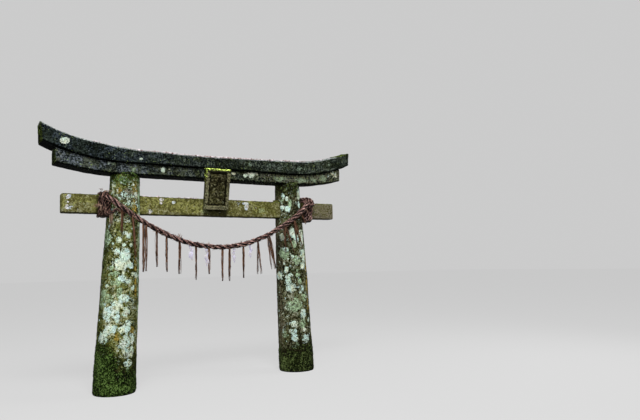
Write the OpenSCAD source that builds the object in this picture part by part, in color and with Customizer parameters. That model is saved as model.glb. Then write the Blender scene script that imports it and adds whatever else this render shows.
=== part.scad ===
// Weathered stone shrine gate: two leaning round pillars, a tie beam passed through them,
// a lower and a top lintel with upswept ends, a tilted tablet, and a twisted straw rope
// with straw tassels and folded paper streamers.
// Frame: X along the gate, front towards -Y, Z up, origin on the ground midway between
// the pillars.

/* [Pillars] */
// Distance from the middle of the gate to the centre of each pillar's foot
foot_x = 1380; // [1200:10:1600]
// Inward lean of each pillar, in degrees
lean = 2.4; // [0:0.1:4]
// Diameter of a pillar at the ground
foot_d = 524; // [420:2:560]
// Diameter of a pillar under the lower lintel
head_d = 376; // [360:2:410]
// How sharply the belly of the shaft thins towards the head
belly = 1.8; // [1:0.1:2.5]
// How far the pillar's head rises beside the lower lintel
head_lip = 30; // [10:1:60]

/* [Tie beam] */
// Height of the tie beam's underside above the ground
beam_z = 2350; // [2200:5:2450]
// Height of the tie beam's section
beam_h = 250; // [200:5:270]
// Thickness of the tie beam from front to back
beam_t = 160; // [120:2:180]
// Length of the tie beam from end to end
beam_l = 4144; // [3900:4:4240]
// Height of a wedge's thick end above the tie beam
wedge_h = 36; // [24:1:50]

/* [Lintels] */
// Height of the lower lintel's underside above the ground, at mid span
lower_z = 2884; // [2800:2:2950]
// Height of the lower lintel at mid span
lower_h = 150; // [120:2:180]
// Thickness of the lower lintel from front to back
lower_t = 322; // [280:2:340]
// Half the length of the lower lintel
lower_half = 2166; // [2100:2:2250]
// Height of the top lintel's face at mid span
top_h = 193; // [160:1:220]
// Thickness of the top lintel from front to back
top_t = 400; // [380:2:440]
// Half the length of the top lintel, along its upper edge
top_half = 2340; // [2300:2:2450]
// Height of the weathered ridge along the top lintel
ridge_h = 45; // [10:1:60]
// Distance from mid span to where the upward sweep of the ends begins
sweep_x = 1295; // [1100:5:1400]
// Rise of the lower lintel's underside at its tips
lower_rise = 97; // [40:1:120]
// Rise of the joint between the lintels, reckoned at the top lintel's tips
joint_rise = 215; // [150:1:260]
// Rise of the top lintel's upper edge at its tips
top_rise = 240; // [180:1:300]
// How far the top lintel's end faces lean outward over their height
tip_lean = 14; // [0:1:40]

/* [Tablet] */
// Width of the tablet
tablet_w = 372; // [300:2:420]
// Length of the tablet's face
tablet_l = 590; // [500:2:592]
// Thickness of the tablet
tablet_t = 70; // [50:1:90]
// Forward tilt of the tablet, in degrees
tablet_tilt = 10.6; // [10.4:0.1:12]
// Height of the tablet's lowest edge above the ground
tablet_z = 2450; // [2440:2:2455]
// Width of the tablet's raised border
border = 60; // [30:1:80]
// Depth of the tablet's sunk panel
panel_depth = 14; // [6:1:25]
// Width of the strut between the tie beam and the lower lintel
strut_w = 200; // [120:2:260]

/* [Rope] */
// Diameter of the twisted rope
rope_d = 70; // [50:1:72]
// Thickness of a straw tassel at the rope
tassel_d = 30; // [16:1:36]
// Width of a paper streamer
streamer_w = 66; // [40:1:80]
// Drop of one fold of a paper streamer
streamer_fold = 58; // [40:1:60]

/* [Hidden] */

stone_green = "darkolivegreen";
stone_pale = "darkseagreen";
stone_brown = "olive";
straw = "rosybrown";
paper = "lavender";

// Pillars
head_z = lower_z + head_lip;
shaft_l = head_z / cos(lean);
shaft_steps = 14;
head_round = 16;
foot_depth = 60;
wedge_w = 84;
// How far a wedge reaches past the shaft's widest line, outward and inward
wedge_out = 26;
wedge_in = 60;
// Distance from the gate's middle to a pillar's axis at a height z
function axis_x(z) = foot_x - z * tan(lean);
// Radius of the shaft at a distance s up its axis
function shaft_r(s) = foot_d / 2 - (foot_d - head_d) / 2 * pow(max(s, 0) / lower_z, belly);

// Lintels
lintel_steps = 14;
// Stations along half a lintel: the straight middle, then the sweep to the tip
function stations(half) = [
    for (i = [-lintel_steps:lintel_steps])
        let (k = abs(i))
        sign(i) * (k == 0 ? 0 : sweep_x + (half - sweep_x) * (k - 1) / (lintel_steps - 1))
];
// Height that a sweep with the given rise at the given half length adds at x
function sweep(x, rise, half) = rise * pow(max(abs(x) - sweep_x, 0) / (half - sweep_x), 2);
joint_z = lower_z + lower_h;
function joint_at(x) = joint_z + sweep(x, joint_rise, top_half);
function lower_under(x) = lower_z + sweep(x, lower_rise, lower_half);
function top_edge(x) = joint_z + top_h + sweep(x, top_rise, top_half);

// Tablet
tablet_back_y = -beam_t / 2 - 4;
strut_t = 150;
strut_back_y = strut_t / 2;
function tablet_back_at(z) = tablet_back_y - (z - tablet_z) * tan(tablet_tilt);

// Rope
// Where the inner turn lies round the beam, and how far the turns are pressed flat
turn_x = 1535;
turn_seat = 2;
turn_pitch = rope_d - turn_seat;
// Radius of the turns' centre line round a corner, and its centre's depth in the beam
turn_bend = 50;
turn_inset = turn_bend + turn_seat - rope_d / 2;
turns_y = -beam_t / 2 - rope_d;
rope_sides = 10;
rope_route = [
    [-turn_x, turns_y, 2570], [-1500, -188, 2545], [-1437, -216, 2492], [-1365, -240, 2430],
    [-1285, -250, 2370], [-1190, -254, 2310], [-1080, -256, 2238], [-960, -257, 2170],
    [-830, -258, 2103], [-690, -258, 2040], [-550, -258, 1987], [-400, -258, 1944],
    [-240, -258, 1914], [-80, -258, 1899], [80, -258, 1897], [240, -258, 1912],
    [400, -258, 1942], [550, -258, 1986], [690, -258, 2040], [830, -258, 2102],
    [960, -257, 2170], [1080, -256, 2240], [1190, -254, 2312], [1285, -250, 2375],
    [1365, -240, 2438], [1437, -216, 2500], [1500, -188, 2550], [turn_x, turns_y, 2575]
];
// Each tassel: where it leaves the rope along X, where its tip hangs, and the tip's height
tassels = [
    [-1358, -1357, 2098], [-1222, -1180, 1770], [-1083, -1079, 1571], [-1046, -1044, 1580],
    [-902, -901, 1633], [-766, -764, 1563], [-584, -584, 1531], [-350, -351, 1442],
    [-157, -156, 1519], [48, 45, 1415], [156, 153, 1411], [376, 372, 1447],
    [604, 631, 1498], [770, 865, 1566], [796, 909, 1575], [1072, 1154, 1803],
    [1230, 1337, 1909], [1369, 1449, 2252]
];
// Where each paper streamer leaves the rope, and how many folds it has
streamers = [[-422, 4], [-188, 4], [221, 4], [484, 3]];
paper_t = 2;

// Height of the rope's centre at x, between the two route points beside it
function rope_z(x) = lookup(x, [for (p = rope_route) [p[0], p[2]]]);
function rope_y(x) = lookup(x, [for (p = rope_route) [p[0], p[1]]]);

function unit(v) = v / norm(v);
// Direction of the rope at route point i; both ends leave their turns straight forward
function tangent(i) =
    i == 0 ? [0, -1, 0] :
    i == len(rope_route) - 1 ? [0, 1, 0] :
    unit(rope_route[i + 1] - rope_route[i - 1]);
// One ring of points round route point i
function rope_ring(i) =
    let (t = tangent(i), across = unit(cross(t, [0, 0, 1])), up = cross(across, t))
    [for (k = [0:rope_sides - 1])
        let (a = 360 * k / rope_sides)
        rope_route[i] + rope_d / 2 * (cos(a) * across + sin(a) * up)];

// A leaning, bellied shaft with a rounded head, cut level at the ground
module shaft() {
    profile = concat(
        [[0, -foot_depth], [foot_d / 2, -foot_depth]],
        [for (i = [0:shaft_steps]) let (s = (shaft_l - head_round) * i / shaft_steps) [shaft_r(s), s]],
        [for (a = [30:30:90]) [
            shaft_r(shaft_l) - head_round * (1 - cos(a)),
            shaft_l - head_round * (1 - sin(a))
        ]],
        [[0, shaft_l]]
    );
    difference() {
        translate([-foot_x, 0, 0])
            rotate([0, lean, 0])
                rotate_extrude($fn = 64)
                    polygon(profile);
        translate([-foot_x - foot_d, -foot_d, -3 * foot_depth])
            cube([2 * foot_d, 2 * foot_d, 3 * foot_depth]);
    }
}

module beam_bar() {
    translate([-beam_l / 2, -beam_t / 2, beam_z])
        cube([beam_l, beam_t, beam_h]);
}

// A wedge driven through the left pillar above the tie beam, from inside or from outside
module wedge_bar(from_inside) {
    top_z = beam_z + beam_h;
    thin_h = wedge_h / 3;
    outer_x = -axis_x(top_z) - head_d / 2 - wedge_out;
    inner_x = -axis_x(top_z) + head_d / 2 + wedge_in;
    translate([0, wedge_w / 2, top_z])
        rotate([90, 0, 0])
            linear_extrude(wedge_w)
                polygon([
                    [outer_x, 0],
                    [inner_x, 0],
                    [inner_x, from_inside ? wedge_h : thin_h],
                    [outer_x, from_inside ? thin_h : wedge_h]
                ]);
}

module lower_bar() {
    xs = stations(lower_half);
    translate([0, lower_t / 2, 0])
        rotate([90, 0, 0])
            linear_extrude(lower_t)
                polygon(concat(
                    [for (x = xs) [x, lower_under(x)]],
                    [for (i = [len(xs) - 1:-1:0]) [xs[i], joint_at(xs[i])]]
                ));
}

// The pillar, mortised for the tie beam and its wedge and notched under the lower lintel
module mortised_pillar(wedge_from_inside) {
    difference() {
        shaft();
        beam_bar();
        wedge_bar(wedge_from_inside);
        lower_bar();
    }
}

module left_pillar() {
    color(stone_pale)
        mortised_pillar(false);
}

module right_pillar() {
    color(stone_pale)
        mirror([1, 0, 0])
            mortised_pillar(true);
}

module tie_beam() {
    color(stone_brown)
        beam_bar();
}

module left_wedge() {
    color(stone_brown)
        wedge_bar(false);
}

module right_wedge() {
    color(stone_brown)
        mirror([1, 0, 0])
            wedge_bar(true);
}

module lower_lintel() {
    color(stone_green)
        lower_bar();
}

// The top lintel is lofted through five-sided sections: flat underside, upright faces and
// a pitched top, each section a little taller towards the tips
module top_lintel() {
    xs = stations(top_half);
    last = len(xs) - 1;
    half_t = top_t / 2;
    // End sections lean outward: the underside stops short of the upper edge
    function pull(i) = (i == 0 || i == last) ? -sign(xs[i]) * tip_lean : 0;
    function section(i) =
        let (x = xs[i])
        [
            [x + pull(i), -half_t, joint_at(x)],
            [x + pull(i), half_t, joint_at(x)],
            [x, half_t, top_edge(x)],
            [x, 0, top_edge(x) + ridge_h],
            [x, -half_t, top_edge(x)]
        ];
    n = 5;
    points = [for (i = [0:last]) each section(i)];
    sides = [
        for (i = [0:last - 1], k = [0:n - 1])
            let (a = i * n + k, b = i * n + (k + 1) % n)
            [a, b, b + n, a + n]
    ];
    caps = [[for (k = [n - 1:-1:0]) k], [for (k = [0:n - 1]) last * n + k]];
    color(stone_green)
        polyhedron(points, concat(sides, caps));
}

// The strut's front slopes to meet the back of the tablet
module tablet_strut() {
    z0 = beam_z + beam_h;
    color(stone_brown)
        translate([-strut_w / 2, 0, 0])
            rotate([90, 0, 90])
                linear_extrude(strut_w)
                    polygon([
                        [strut_back_y, z0],
                        [strut_back_y, lower_z],
                        [tablet_back_at(lower_z), lower_z],
                        [tablet_back_at(z0), z0]
                    ]);
}

module tablet() {
    color(stone_brown)
        translate([0, tablet_back_y, tablet_z])
            rotate([tablet_tilt, 0, 0])
                translate([-tablet_w / 2, -tablet_t, 0])
                    difference() {
                        cube([tablet_w, tablet_t, tablet_l]);
                        translate([border, -1, border])
                            cube([tablet_w - 2 * border, panel_depth + 1, tablet_l - 2 * border]);
                    }
}

module rope() {
    last = len(rope_route) - 1;
    points = [for (i = [0:last]) each rope_ring(i)];
    sides = [
        for (i = [0:last - 1], k = [0:rope_sides - 1])
            let (a = i * rope_sides + k, b = i * rope_sides + (k + 1) % rope_sides)
            [a, a + rope_sides, b + rope_sides, b]
    ];
    caps = [
        [for (k = [0:rope_sides - 1]) k],
        [for (k = [rope_sides - 1:-1:0]) last * rope_sides + k]
    ];
    color(straw)
        polyhedron(points, concat(sides, caps));
}

// Section through the two turns, pressed together side by side
module turns_section() {
    for (i = [-1, 1])
        translate([0, i * turn_pitch / 2])
            circle(rope_d / 2, $fn = 48);
}

// The two turns round the beam: a straight run along each face, bent round each corner
module turns_round_beam() {
    reach = [beam_t / 2 - turn_inset, beam_h / 2 - turn_inset];
    translate([0, 0, beam_z + beam_h / 2])
        rotate([90, 0, 90])
            for (k = [0:3])
                rotate(90 * k) {
                    translate([reach[k % 2] + turn_bend, 0, 0])
                        rotate([90, 0, 0])
                            linear_extrude(2 * reach[(k + 1) % 2], center = true)
                                turns_section();
                    translate([reach[k % 2], reach[(k + 1) % 2], 0])
                        rotate_extrude(angle = 90, $fn = 96)
                            translate([turn_bend, 0])
                                turns_section();
                }
}

// The rope's turns round one end of the beam, seated flat on it, with the short run at the
// front that takes the hanging rope
module rope_turns(side, rope_end) {
    color(straw)
        difference() {
            union() {
                translate([side * (turn_x + turn_pitch / 2), 0, 0])
                    turns_round_beam();
                translate(rope_end)
                    rotate([-90, 0, 0])
                        cylinder(h = rope_d, d = rope_d + turn_seat, $fn = 48);
            }
            beam_bar();
        }
}

module left_rope_turns() {
    rope_turns(-1, rope_route[0]);
}

module right_rope_turns() {
    rope_turns(1, rope_route[len(rope_route) - 1]);
}

// A hanging tuft of straw that thins towards its tip
module tassel(i) {
    t = tassels[i];
    start = [t[0], rope_y(t[0]), rope_z(t[0]) - rope_d / 2 + 6];
    drop = start[2] - t[2];
    color(straw)
        translate(start)
            rotate([0, 180 - atan2(t[1] - t[0], drop), 0])
                cylinder(h = drop, r1 = tassel_d / 2, r2 = tassel_d / 4, $fn = 24);
}

module tassel_01() tassel(0);
module tassel_02() tassel(1);
module tassel_03() tassel(2);
module tassel_04() tassel(3);
module tassel_05() tassel(4);
module tassel_06() tassel(5);
module tassel_07() tassel(6);
module tassel_08() tassel(7);
module tassel_09() tassel(8);
module tassel_10() tassel(9);
module tassel_11() tassel(10);
module tassel_12() tassel(11);
module tassel_13() tassel(12);
module tassel_14() tassel(13);
module tassel_15() tassel(14);
module tassel_16() tassel(15);
module tassel_17() tassel(16);
module tassel_18() tassel(17);

// A folded paper streamer: square leaves, each hung from the side of the one above
module streamer(i) {
    s = streamers[i];
    shift = streamer_w / 3;
    top = rope_z(s[0]) - rope_d / 2 + 4;
    color(paper)
        translate([s[0], rope_y(s[0]) + paper_t / 2, top])
            rotate([90, 0, 0])
                linear_extrude(paper_t)
                    union() {
                        for (k = [0:s[1] - 1])
                            translate([(k % 2 == 0 ? -1 : 1) * shift / 2, -streamer_fold * (k + 0.5)])
                                square([streamer_w - shift, streamer_fold + 4], center = true);
                    }
}

module streamer_01() streamer(0);
module streamer_02() streamer(1);
module streamer_03() streamer(2);
module streamer_04() streamer(3);

left_pillar();
right_pillar();
tie_beam();
left_wedge();
right_wedge();
lower_lintel();
top_lintel();
tablet_strut();
tablet();
rope();
left_rope_turns();
right_rope_turns();
tassel_01();
tassel_02();
tassel_03();
tassel_04();
tassel_05();
tassel_06();
tassel_07();
tassel_08();
tassel_09();
tassel_10();
tassel_11();
tassel_12();
tassel_13();
tassel_14();
tassel_15();
tassel_16();
tassel_17();
tassel_18();
streamer_01();
streamer_02();
streamer_03();
streamer_04();
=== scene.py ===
"""Looks of the weathered stone shrine gate, laid over the fixed frame of its solids."""
import math
import random

import bmesh
import bpy
import numpy as np
from mathutils import Matrix, Vector, noise


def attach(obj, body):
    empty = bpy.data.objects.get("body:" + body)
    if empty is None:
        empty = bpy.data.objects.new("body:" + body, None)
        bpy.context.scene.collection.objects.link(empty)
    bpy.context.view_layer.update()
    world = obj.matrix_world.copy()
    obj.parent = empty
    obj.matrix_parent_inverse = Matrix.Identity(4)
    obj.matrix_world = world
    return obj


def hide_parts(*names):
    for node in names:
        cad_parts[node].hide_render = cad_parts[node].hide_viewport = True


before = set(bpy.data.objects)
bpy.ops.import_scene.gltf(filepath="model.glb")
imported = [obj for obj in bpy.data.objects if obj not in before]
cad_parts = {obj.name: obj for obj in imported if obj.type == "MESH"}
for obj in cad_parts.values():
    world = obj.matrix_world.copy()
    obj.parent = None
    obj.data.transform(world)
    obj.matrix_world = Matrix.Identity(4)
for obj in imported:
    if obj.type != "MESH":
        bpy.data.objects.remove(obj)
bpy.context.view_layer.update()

scene = bpy.context.scene

# Driving sizes of the gate, in metres
FOOT_X = 1.380
LEAN = math.radians(2.4)
FOOT_R = 0.262
HEAD_R = 0.188
BELLY = 1.8
BEAM_Z = 2.350
BEAM_H = 0.250
BEAM_T = 0.160
LOWER_Z = 2.884
LOWER_H = 0.150
LOWER_T = 0.322
LOWER_HALF = 2.166
LOWER_RISE = 0.097
JOINT_Z = LOWER_Z + LOWER_H
TOP_H = 0.193
TOP_T = 0.400
TOP_HALF = 2.340
TOP_RISE = 0.240
JOINT_RISE = 0.215
RIDGE_H = 0.045
SWEEP_X = 1.295
TABLET_W = 0.372
TABLET_L = 0.590
TABLET_Z = 2.450
TABLET_TILT = math.radians(10.6)
TABLET_BORDER = 0.060
ROPE_D = 0.070
# Length in which a strand goes once round, in the hanging rope and in its turns
ROPE_PITCH = 0.345
TURNS_PITCH = 0.170
# In shares of the rope's radius: how far out a strand's heart runs, and its own radius
STRAND_OUT = 0.58
STRAND_THICK = 0.45
# Radius of the turns where they leave the hanging rope, then on the left and on the right
TURNS_START_R = 0.033
LEFT_TURNS_R = 0.0205
RIGHT_TURNS_R = 0.0260
# How far moss and crusts stand proud at most, on the shafts and on the bars
SHAFT_MOSS_H, SHAFT_CRUST_H = 0.016, 0.007
BAR_MOSS_H, BAR_CRUST_H = 0.014, 0.004
# Width of the smallest crumb, and how much wider the largest one is
CRUMB_D = 0.012
CRUMB_SPREAD = 0.030
# How far the top lintel's left tip has come up at its upper back corner
TIP_LIFT = 0.032

# The rope's route from the left turns to the right turns
ROPE_ROUTE = [
    (-1.535, -0.150, 2.570), (-1.500, -0.188, 2.545), (-1.437, -0.216, 2.492),
    (-1.365, -0.240, 2.430), (-1.285, -0.250, 2.370), (-1.190, -0.254, 2.310),
    (-1.080, -0.256, 2.238), (-0.960, -0.257, 2.170), (-0.830, -0.258, 2.103),
    (-0.690, -0.258, 2.040), (-0.550, -0.258, 1.987), (-0.400, -0.258, 1.944),
    (-0.240, -0.258, 1.914), (-0.080, -0.258, 1.899), (0.080, -0.258, 1.897),
    (0.240, -0.258, 1.912), (0.400, -0.258, 1.942), (0.550, -0.258, 1.986),
    (0.690, -0.258, 2.040), (0.830, -0.258, 2.102), (0.960, -0.257, 2.170),
    (1.080, -0.256, 2.240), (1.190, -0.254, 2.312), (1.285, -0.250, 2.375),
    (1.365, -0.240, 2.438), (1.437, -0.216, 2.500), (1.500, -0.188, 2.550),
    (1.535, -0.150, 2.575),
]
# The rope's turns round the beam's ends: X of each run down the back and up the front
LEFT_RUNS = [(-1.545, -1.492), (-1.505, -1.532), (-1.548, -1.572), (-1.590, -1.612)]
RIGHT_RUNS = [(1.545, 1.520), (1.545, 1.575), (1.590, 1.622)]
# How each side goes on from its last run up the front: the left tail passes under the rope, the
# right one goes over the beam once more and lies on the rope
LEFT_TAIL = [
    (-1.604, -0.135, 2.560), (-1.575, -0.150, 2.470), (-1.548, -0.150, 2.380), (-1.535, -0.168, 2.344),
    (-1.495, -0.205, 2.354), (-1.455, -0.232, 2.378), (-1.425, -0.246, 2.402),
]
RIGHT_TAIL = [
    (1.612, -0.070, 2.640), (1.602, 0.060, 2.640), (1.594, 0.120, 2.590), (1.556, 0.150, 2.540),
    (1.520, 0.116, 2.590), (1.510, 0.055, 2.662), (1.548, -0.035, 2.672), (1.606, -0.100, 2.662),
    (1.640, -0.146, 2.610), (1.634, -0.172, 2.566), (1.592, -0.186, 2.556), (1.545, -0.196, 2.574),
    (1.512, -0.190, 2.590),
]
# Tufts of straw ends at the turns: root, heading, length, straws and how far they spread
LEFT_TUFTS = [
    ((-1.618, -0.142, 2.462), (-1.0, -0.2, -0.38), 0.085, 22, 0.30),
    ((-1.560, -0.135, 2.646), (1.0, -0.1, 0.02), 0.100, 9, 0.14),
    ((-1.590, -0.120, 2.655), (-0.3, -0.3, 0.6), 0.040, 7, 0.40),
    ((-1.425, -0.246, 2.400), (0.8, -0.1, -0.6), 0.070, 12, 0.25),
    ((-1.608, -0.146, 2.450), (0.0, 0.0, -1.0), 0.140, 9, 0.06),
    ((-1.492, -0.200, 2.340), (0.0, 0.05, -1.0), 0.235, 7, 0.05),
    ((-1.472, -0.215, 2.350), (0.05, 0.0, -1.0), 0.150, 4, 0.05),
    ((-1.555, -0.132, 2.470), (0.0, -0.1, -1.0), 0.110, 18, 0.30),
]
RIGHT_TUFTS = [
    ((1.630, -0.150, 2.550), (0.10, 0.0, -1.0), 0.095, 9, 0.10),
    ((1.585, -0.125, 2.420), (0.10, 0.0, -1.0), 0.110, 10, 0.16),
    ((1.640, -0.120, 2.650), (0.8, -0.2, 0.3), 0.035, 6, 0.40),
    ((1.512, -0.190, 2.590), (-0.5, -0.2, 0.5), 0.050, 8, 0.30),
    ((1.490, -0.195, 2.510), (0.3, -0.1, -1.0), 0.110, 6, 0.10),
]
# Tufts that stand up from the hanging rope: place along X, length, straws
UPRIGHT_TUFTS = [
    (-0.600, 0.055, 9), (-0.565, 0.045, 6), (-0.170, 0.040, 6), (0.330, 0.040, 6), (0.900, 0.040, 5),
]
# Each tassel: where it leaves the rope along X, where its tip hangs, and the tip's height
TASSELS = [
    (-1.358, -1.357, 2.098), (-1.222, -1.180, 1.770), (-1.083, -1.079, 1.571),
    (-1.046, -1.044, 1.580), (-0.902, -0.901, 1.633), (-0.766, -0.764, 1.563),
    (-0.584, -0.584, 1.531), (-0.350, -0.351, 1.442), (-0.157, -0.156, 1.519),
    (0.048, 0.045, 1.415), (0.156, 0.153, 1.411), (0.376, 0.372, 1.447),
    (0.604, 0.631, 1.498), (0.770, 0.865, 1.566), (0.796, 0.909, 1.575),
    (1.072, 1.154, 1.803), (1.230, 1.337, 1.909), (1.369, 1.449, 2.252),
]
# Tassels whose strands part towards their tips, and how far
PARTED = {13: 0.035, 14: 0.030, 16: 0.075, 17: 0.045}
# Each streamer: its place along X, then its leaves as sideways shift, width and fall
STREAMERS = [
    (-0.422, [(-0.012, 0.034, 0.046), (0.012, 0.036, 0.048), (0.002, 0.060, 0.088)]),
    (-0.188, [(-0.006, 0.042, 0.052), (0.014, 0.044, 0.052), (-0.012, 0.044, 0.056), (0.006, 0.052, 0.072)]),
    (0.221, [(0.008, 0.030, 0.056), (-0.010, 0.032, 0.058), (0.006, 0.038, 0.080)]),
    (0.484, [(-0.008, 0.036, 0.050), (0.010, 0.040, 0.056), (-0.002, 0.044, 0.074)]),
]

# Lichens on the shafts: height, bearing from the front towards +X in degrees,
# half width and half height
LEFT_PALE = [
    (2.09, -3, 0.025, 0.021), (2.05, 7, 0.033, 0.035), (2.0, -25, 0.028, 0.035), (1.93, -7, 0.021, 0.017),
    (1.85, -29, 0.036, 0.035), (1.93, 17, 0.02, 0.021), (1.8, -2, 0.057, 0.076), (1.68, -11, 0.076, 0.076),
    (1.67, 16, 0.04, 0.042), (1.55, 31, 0.039, 0.021), (1.4, -54, 0.022, 0.022), (1.36, 30, 0.023, 0.021),
    (1.49, -8, 0.049, 0.035), (1.45, 11, 0.031, 0.035), (1.23, 1, 0.064, 0.048), (1.16, -18, 0.062, 0.041),
    (1.06, 10, 0.046, 0.053), (1.08, -15, 0.021, 0.035), (1.03, -48, 0.059, 0.083),
    (1.08, -38, 0.053, 0.069), (1.0, -18, 0.035, 0.028), (0.91, 17, 0.048, 0.035), (0.84, 7, 0.067, 0.053),
    (0.85, -35, 0.071, 0.058), (0.73, -57, 0.063, 0.077), (0.73, 12, 0.039, 0.042), (0.65, 7, 0.074, 0.049),
    (0.71, 36, 0.026, 0.049), (0.57, -10, 0.022, 0.017), (0.53, 14, 0.079, 0.063), (0.54, 33, 0.042, 0.063),
    (0.4, 24, 0.059, 0.056),
]
LEFT_MINT = [
    (2.03, -72, 0.067, 0.127), (1.56, -30, 0.065, 0.028), (1.44, -19, 0.035, 0.055),
    (1.3, -64, 0.065, 0.049), (1.23, -49, 0.068, 0.049), (1.18, -71, 0.064, 0.07),
    (1.44, -34, 0.037, 0.035), (1.63, -42, 0.024, 0.028), (1.32, -15, 0.035, 0.062),
    (0.33, 21, 0.031, 0.035), (0.43, -5, 0.021, 0.042), (0.81, -1, 0.021, 0.021), (2.8, -18, 0.056, 0.05),
    (2.17, 64, 0.05, 0.371), (1.43, 64, 0.05, 0.366), (2.58, 70, 0.08, 0.24),
]
LEFT_AMBER = [
    (0.74, -13, 0.035, 0.062), (0.6, 22, 0.026, 0.017), (0.82, 32, 0.04, 0.042), (2.47, 29, 0.05, 0.11),
    (2.66, 29, 0.046, 0.10), (1.75, 38, 0.026, 0.20), (1.35, 42, 0.026, 0.16), (2.66, -32, 0.04, 0.04),
]
RIGHT_PALE = [
    (2.74, 31, 0.035, 0.09), (2.68, -50, 0.025, 0.039), (2.65, -34, 0.019, 0.031), (2.74, 42, 0.045, 0.087),
    (2.56, 30, 0.028, 0.047), (2.51, -57, 0.044, 0.028), (2.49, -34, 0.039, 0.047),
    (2.11, -19, 0.044, 0.07), (2.02, -3, 0.034, 0.062), (2.11, 26, 0.049, 0.047), (2.05, -62, 0.041, 0.054),
    (1.99, 25, 0.032, 0.07), (1.82, 22, 0.063, 0.028), (1.75, -22, 0.023, 0.023), (1.74, 26, 0.055, 0.063),
    (1.6, 19, 0.046, 0.047), (1.56, -48, 0.029, 0.046), (1.46, -84, 0.061, 0.052),
    (1.47, -34, 0.034, 0.023), (1.38, -44, 0.045, 0.062), (1.27, -34, 0.062, 0.062),
    (1.26, 8, 0.023, 0.039), (1.2, 0, 0.027, 0.016), (0.87, 7, 0.048, 0.07), (0.78, 31, 0.031, 0.035),
    (0.72, -30, 0.054, 0.05), (0.61, -33, 0.055, 0.047), (0.51, -29, 0.055, 0.047), (0.49, 9, 0.079, 0.063),
]
RIGHT_MINT = [
    (2.57, -20, 0.024, 0.062), (2.62, -58, 0.036, 0.016), (1.94, -17, 0.047, 0.062),
    (1.8, -55, 0.078, 0.07), (1.69, -6, 0.059, 0.062), (1.46, -5, 0.03, 0.028), (1.37, 1, 0.022, 0.039),
    (1.12, 14, 0.043, 0.055), (1.0, -23, 0.101, 0.093), (0.72, 2, 0.046, 0.055), (0.4, -29, 0.055, 0.055),
    (0.23, -30, 0.031, 0.031), (0.57, -67, 0.05, 0.047),
]
RIGHT_AMBER = [
    (1.61, 43, 0.03, 0.126), (1.3, 37, 0.03, 0.157), (0.99, 36, 0.03, 0.126), (2.613, -32.5, 0.03, 0.022),
]
# Lichens on the upright fronts: place along X, height, half width and half height
BEAM_PALE = [
    (-2.0, 2.558, 0.029, 0.03), (-2.0, 2.425, 0.031, 0.026), (-2.0, 2.49, 0.014, 0.018),
    (-0.94, 2.395, 0.025, 0.025), (-0.78, 2.561, 0.021, 0.025), (-0.79, 2.519, 0.017, 0.017),
    (-0.61, 2.532, 0.023, 0.018), (0.515, 2.50, 0.028, 0.048), (0.50, 2.557, 0.036, 0.016),
]
BEAM_MINT = [(0.77, 2.468, 0.046, 0.038), (-0.15, 2.426, 0.059, 0.029)]
LOWER_PALE = [
    (0.46, 2.971, 0.026, 0.027), (0.56, 2.985, 0.058, 0.038), (0.64, 3.005, 0.034, 0.023),
    (2.02, 3.108, 0.032, 0.027), (2.09, 3.079, 0.02, 0.037), (-1.52, 3.015, 0.018, 0.016),
    (-0.79, 2.971, 0.028, 0.031), (0.27, 2.982, 0.032, 0.022),
]
LOWER_MINT = [
    (1.03, 2.951, 0.079, 0.034), (1.45, 2.951, 0.093, 0.035), (1.65, 2.971, 0.057, 0.024),
    (-1.46, 3.013, 0.026, 0.024), (-1.19, 2.944, 0.027, 0.025), (1.84, 3.015, 0.058, 0.041),
]
TOP_PALE = [
    (-2.07, 3.259, 0.047, 0.045), (-1.1, 3.095, 0.017, 0.013), (-1.87, 3.33, 0.024, 0.013),
]
TOP_MINT = [
    (0.84, 3.143, 0.031, 0.039), (1.39, 3.142, 0.037, 0.024), (0.52, 3.128, 0.025, 0.023),
]
# How far the worn top of the top lintel lies above or below its even sweep, along X
TOP_WEAR = [
    (-2.34, 0.004), (-2.1, 0.001), (-1.85, 0.011), (-1.6, 0.019), (-1.35, 0.004), (-1.1, -0.019),
    (-0.8, -0.018), (-0.55, -0.029), (-0.25, -0.032), (0.05, -0.029), (0.35, -0.02), (0.7, -0.011),
    (1.05, -0.0), (1.35, 0.009), (1.6, 0.008), (1.8, 0.013), (2.0, 0.009), (2.18, -0.006), (2.34, -0.02),
]


# Modelling helpers

def only(piece):
    """Nothing is selected but this piece, and it is the active one."""
    bpy.ops.object.select_all(action="DESELECT")
    piece.hide_set(False)
    piece.select_set(True)
    bpy.context.view_layer.objects.active = piece


def finish_with(piece, kind, **settings):
    """Adds one modifier with these settings and applies it."""
    only(piece)
    modifier = piece.modifiers.new(kind.title(), kind)
    for name, value in settings.items():
        setattr(modifier, name, value)
    bpy.ops.object.modifier_apply(modifier=modifier.name)


def pick(piece, wanted):
    """In edit mode, selects just the corners whose place passes the test."""
    bpy.ops.mesh.select_all(action="DESELECT")
    mesh = bmesh.from_edit_mesh(piece.data)
    for corner in mesh.verts:
        corner.select = wanted(corner.co)
    mesh.select_flush(True)
    bmesh.update_edit_mesh(piece.data)


def copy_of_node(node, name):
    """A merged copy of a solid of the frame, to be worked into the weathered piece."""
    piece = bpy.data.objects.new(name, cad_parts[node].data.copy())
    scene.collection.objects.link(piece)
    piece.data.materials.clear()
    only(piece)
    bpy.ops.object.mode_set(mode="EDIT")
    bpy.ops.mesh.select_all(action="SELECT")
    bpy.ops.mesh.remove_doubles(threshold=0.00005)
    bpy.ops.mesh.normals_make_consistent(inside=False)
    bpy.ops.object.mode_set(mode="OBJECT")
    return piece


def joined_copies(name, placed):
    """One piece from copies of modelled patterns; placed pairs each pattern with its matrix."""
    copies = []
    for pattern, matrix in placed:
        copy = bpy.data.objects.new(name, pattern.data.copy())
        copy.data.transform(matrix)
        scene.collection.objects.link(copy)
        copies.append(copy)
    bpy.ops.object.select_all(action="DESELECT")
    for copy in copies:
        copy.select_set(True)
    bpy.context.view_layer.objects.active = copies[0]
    bpy.ops.object.join()
    return copies[0]


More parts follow.
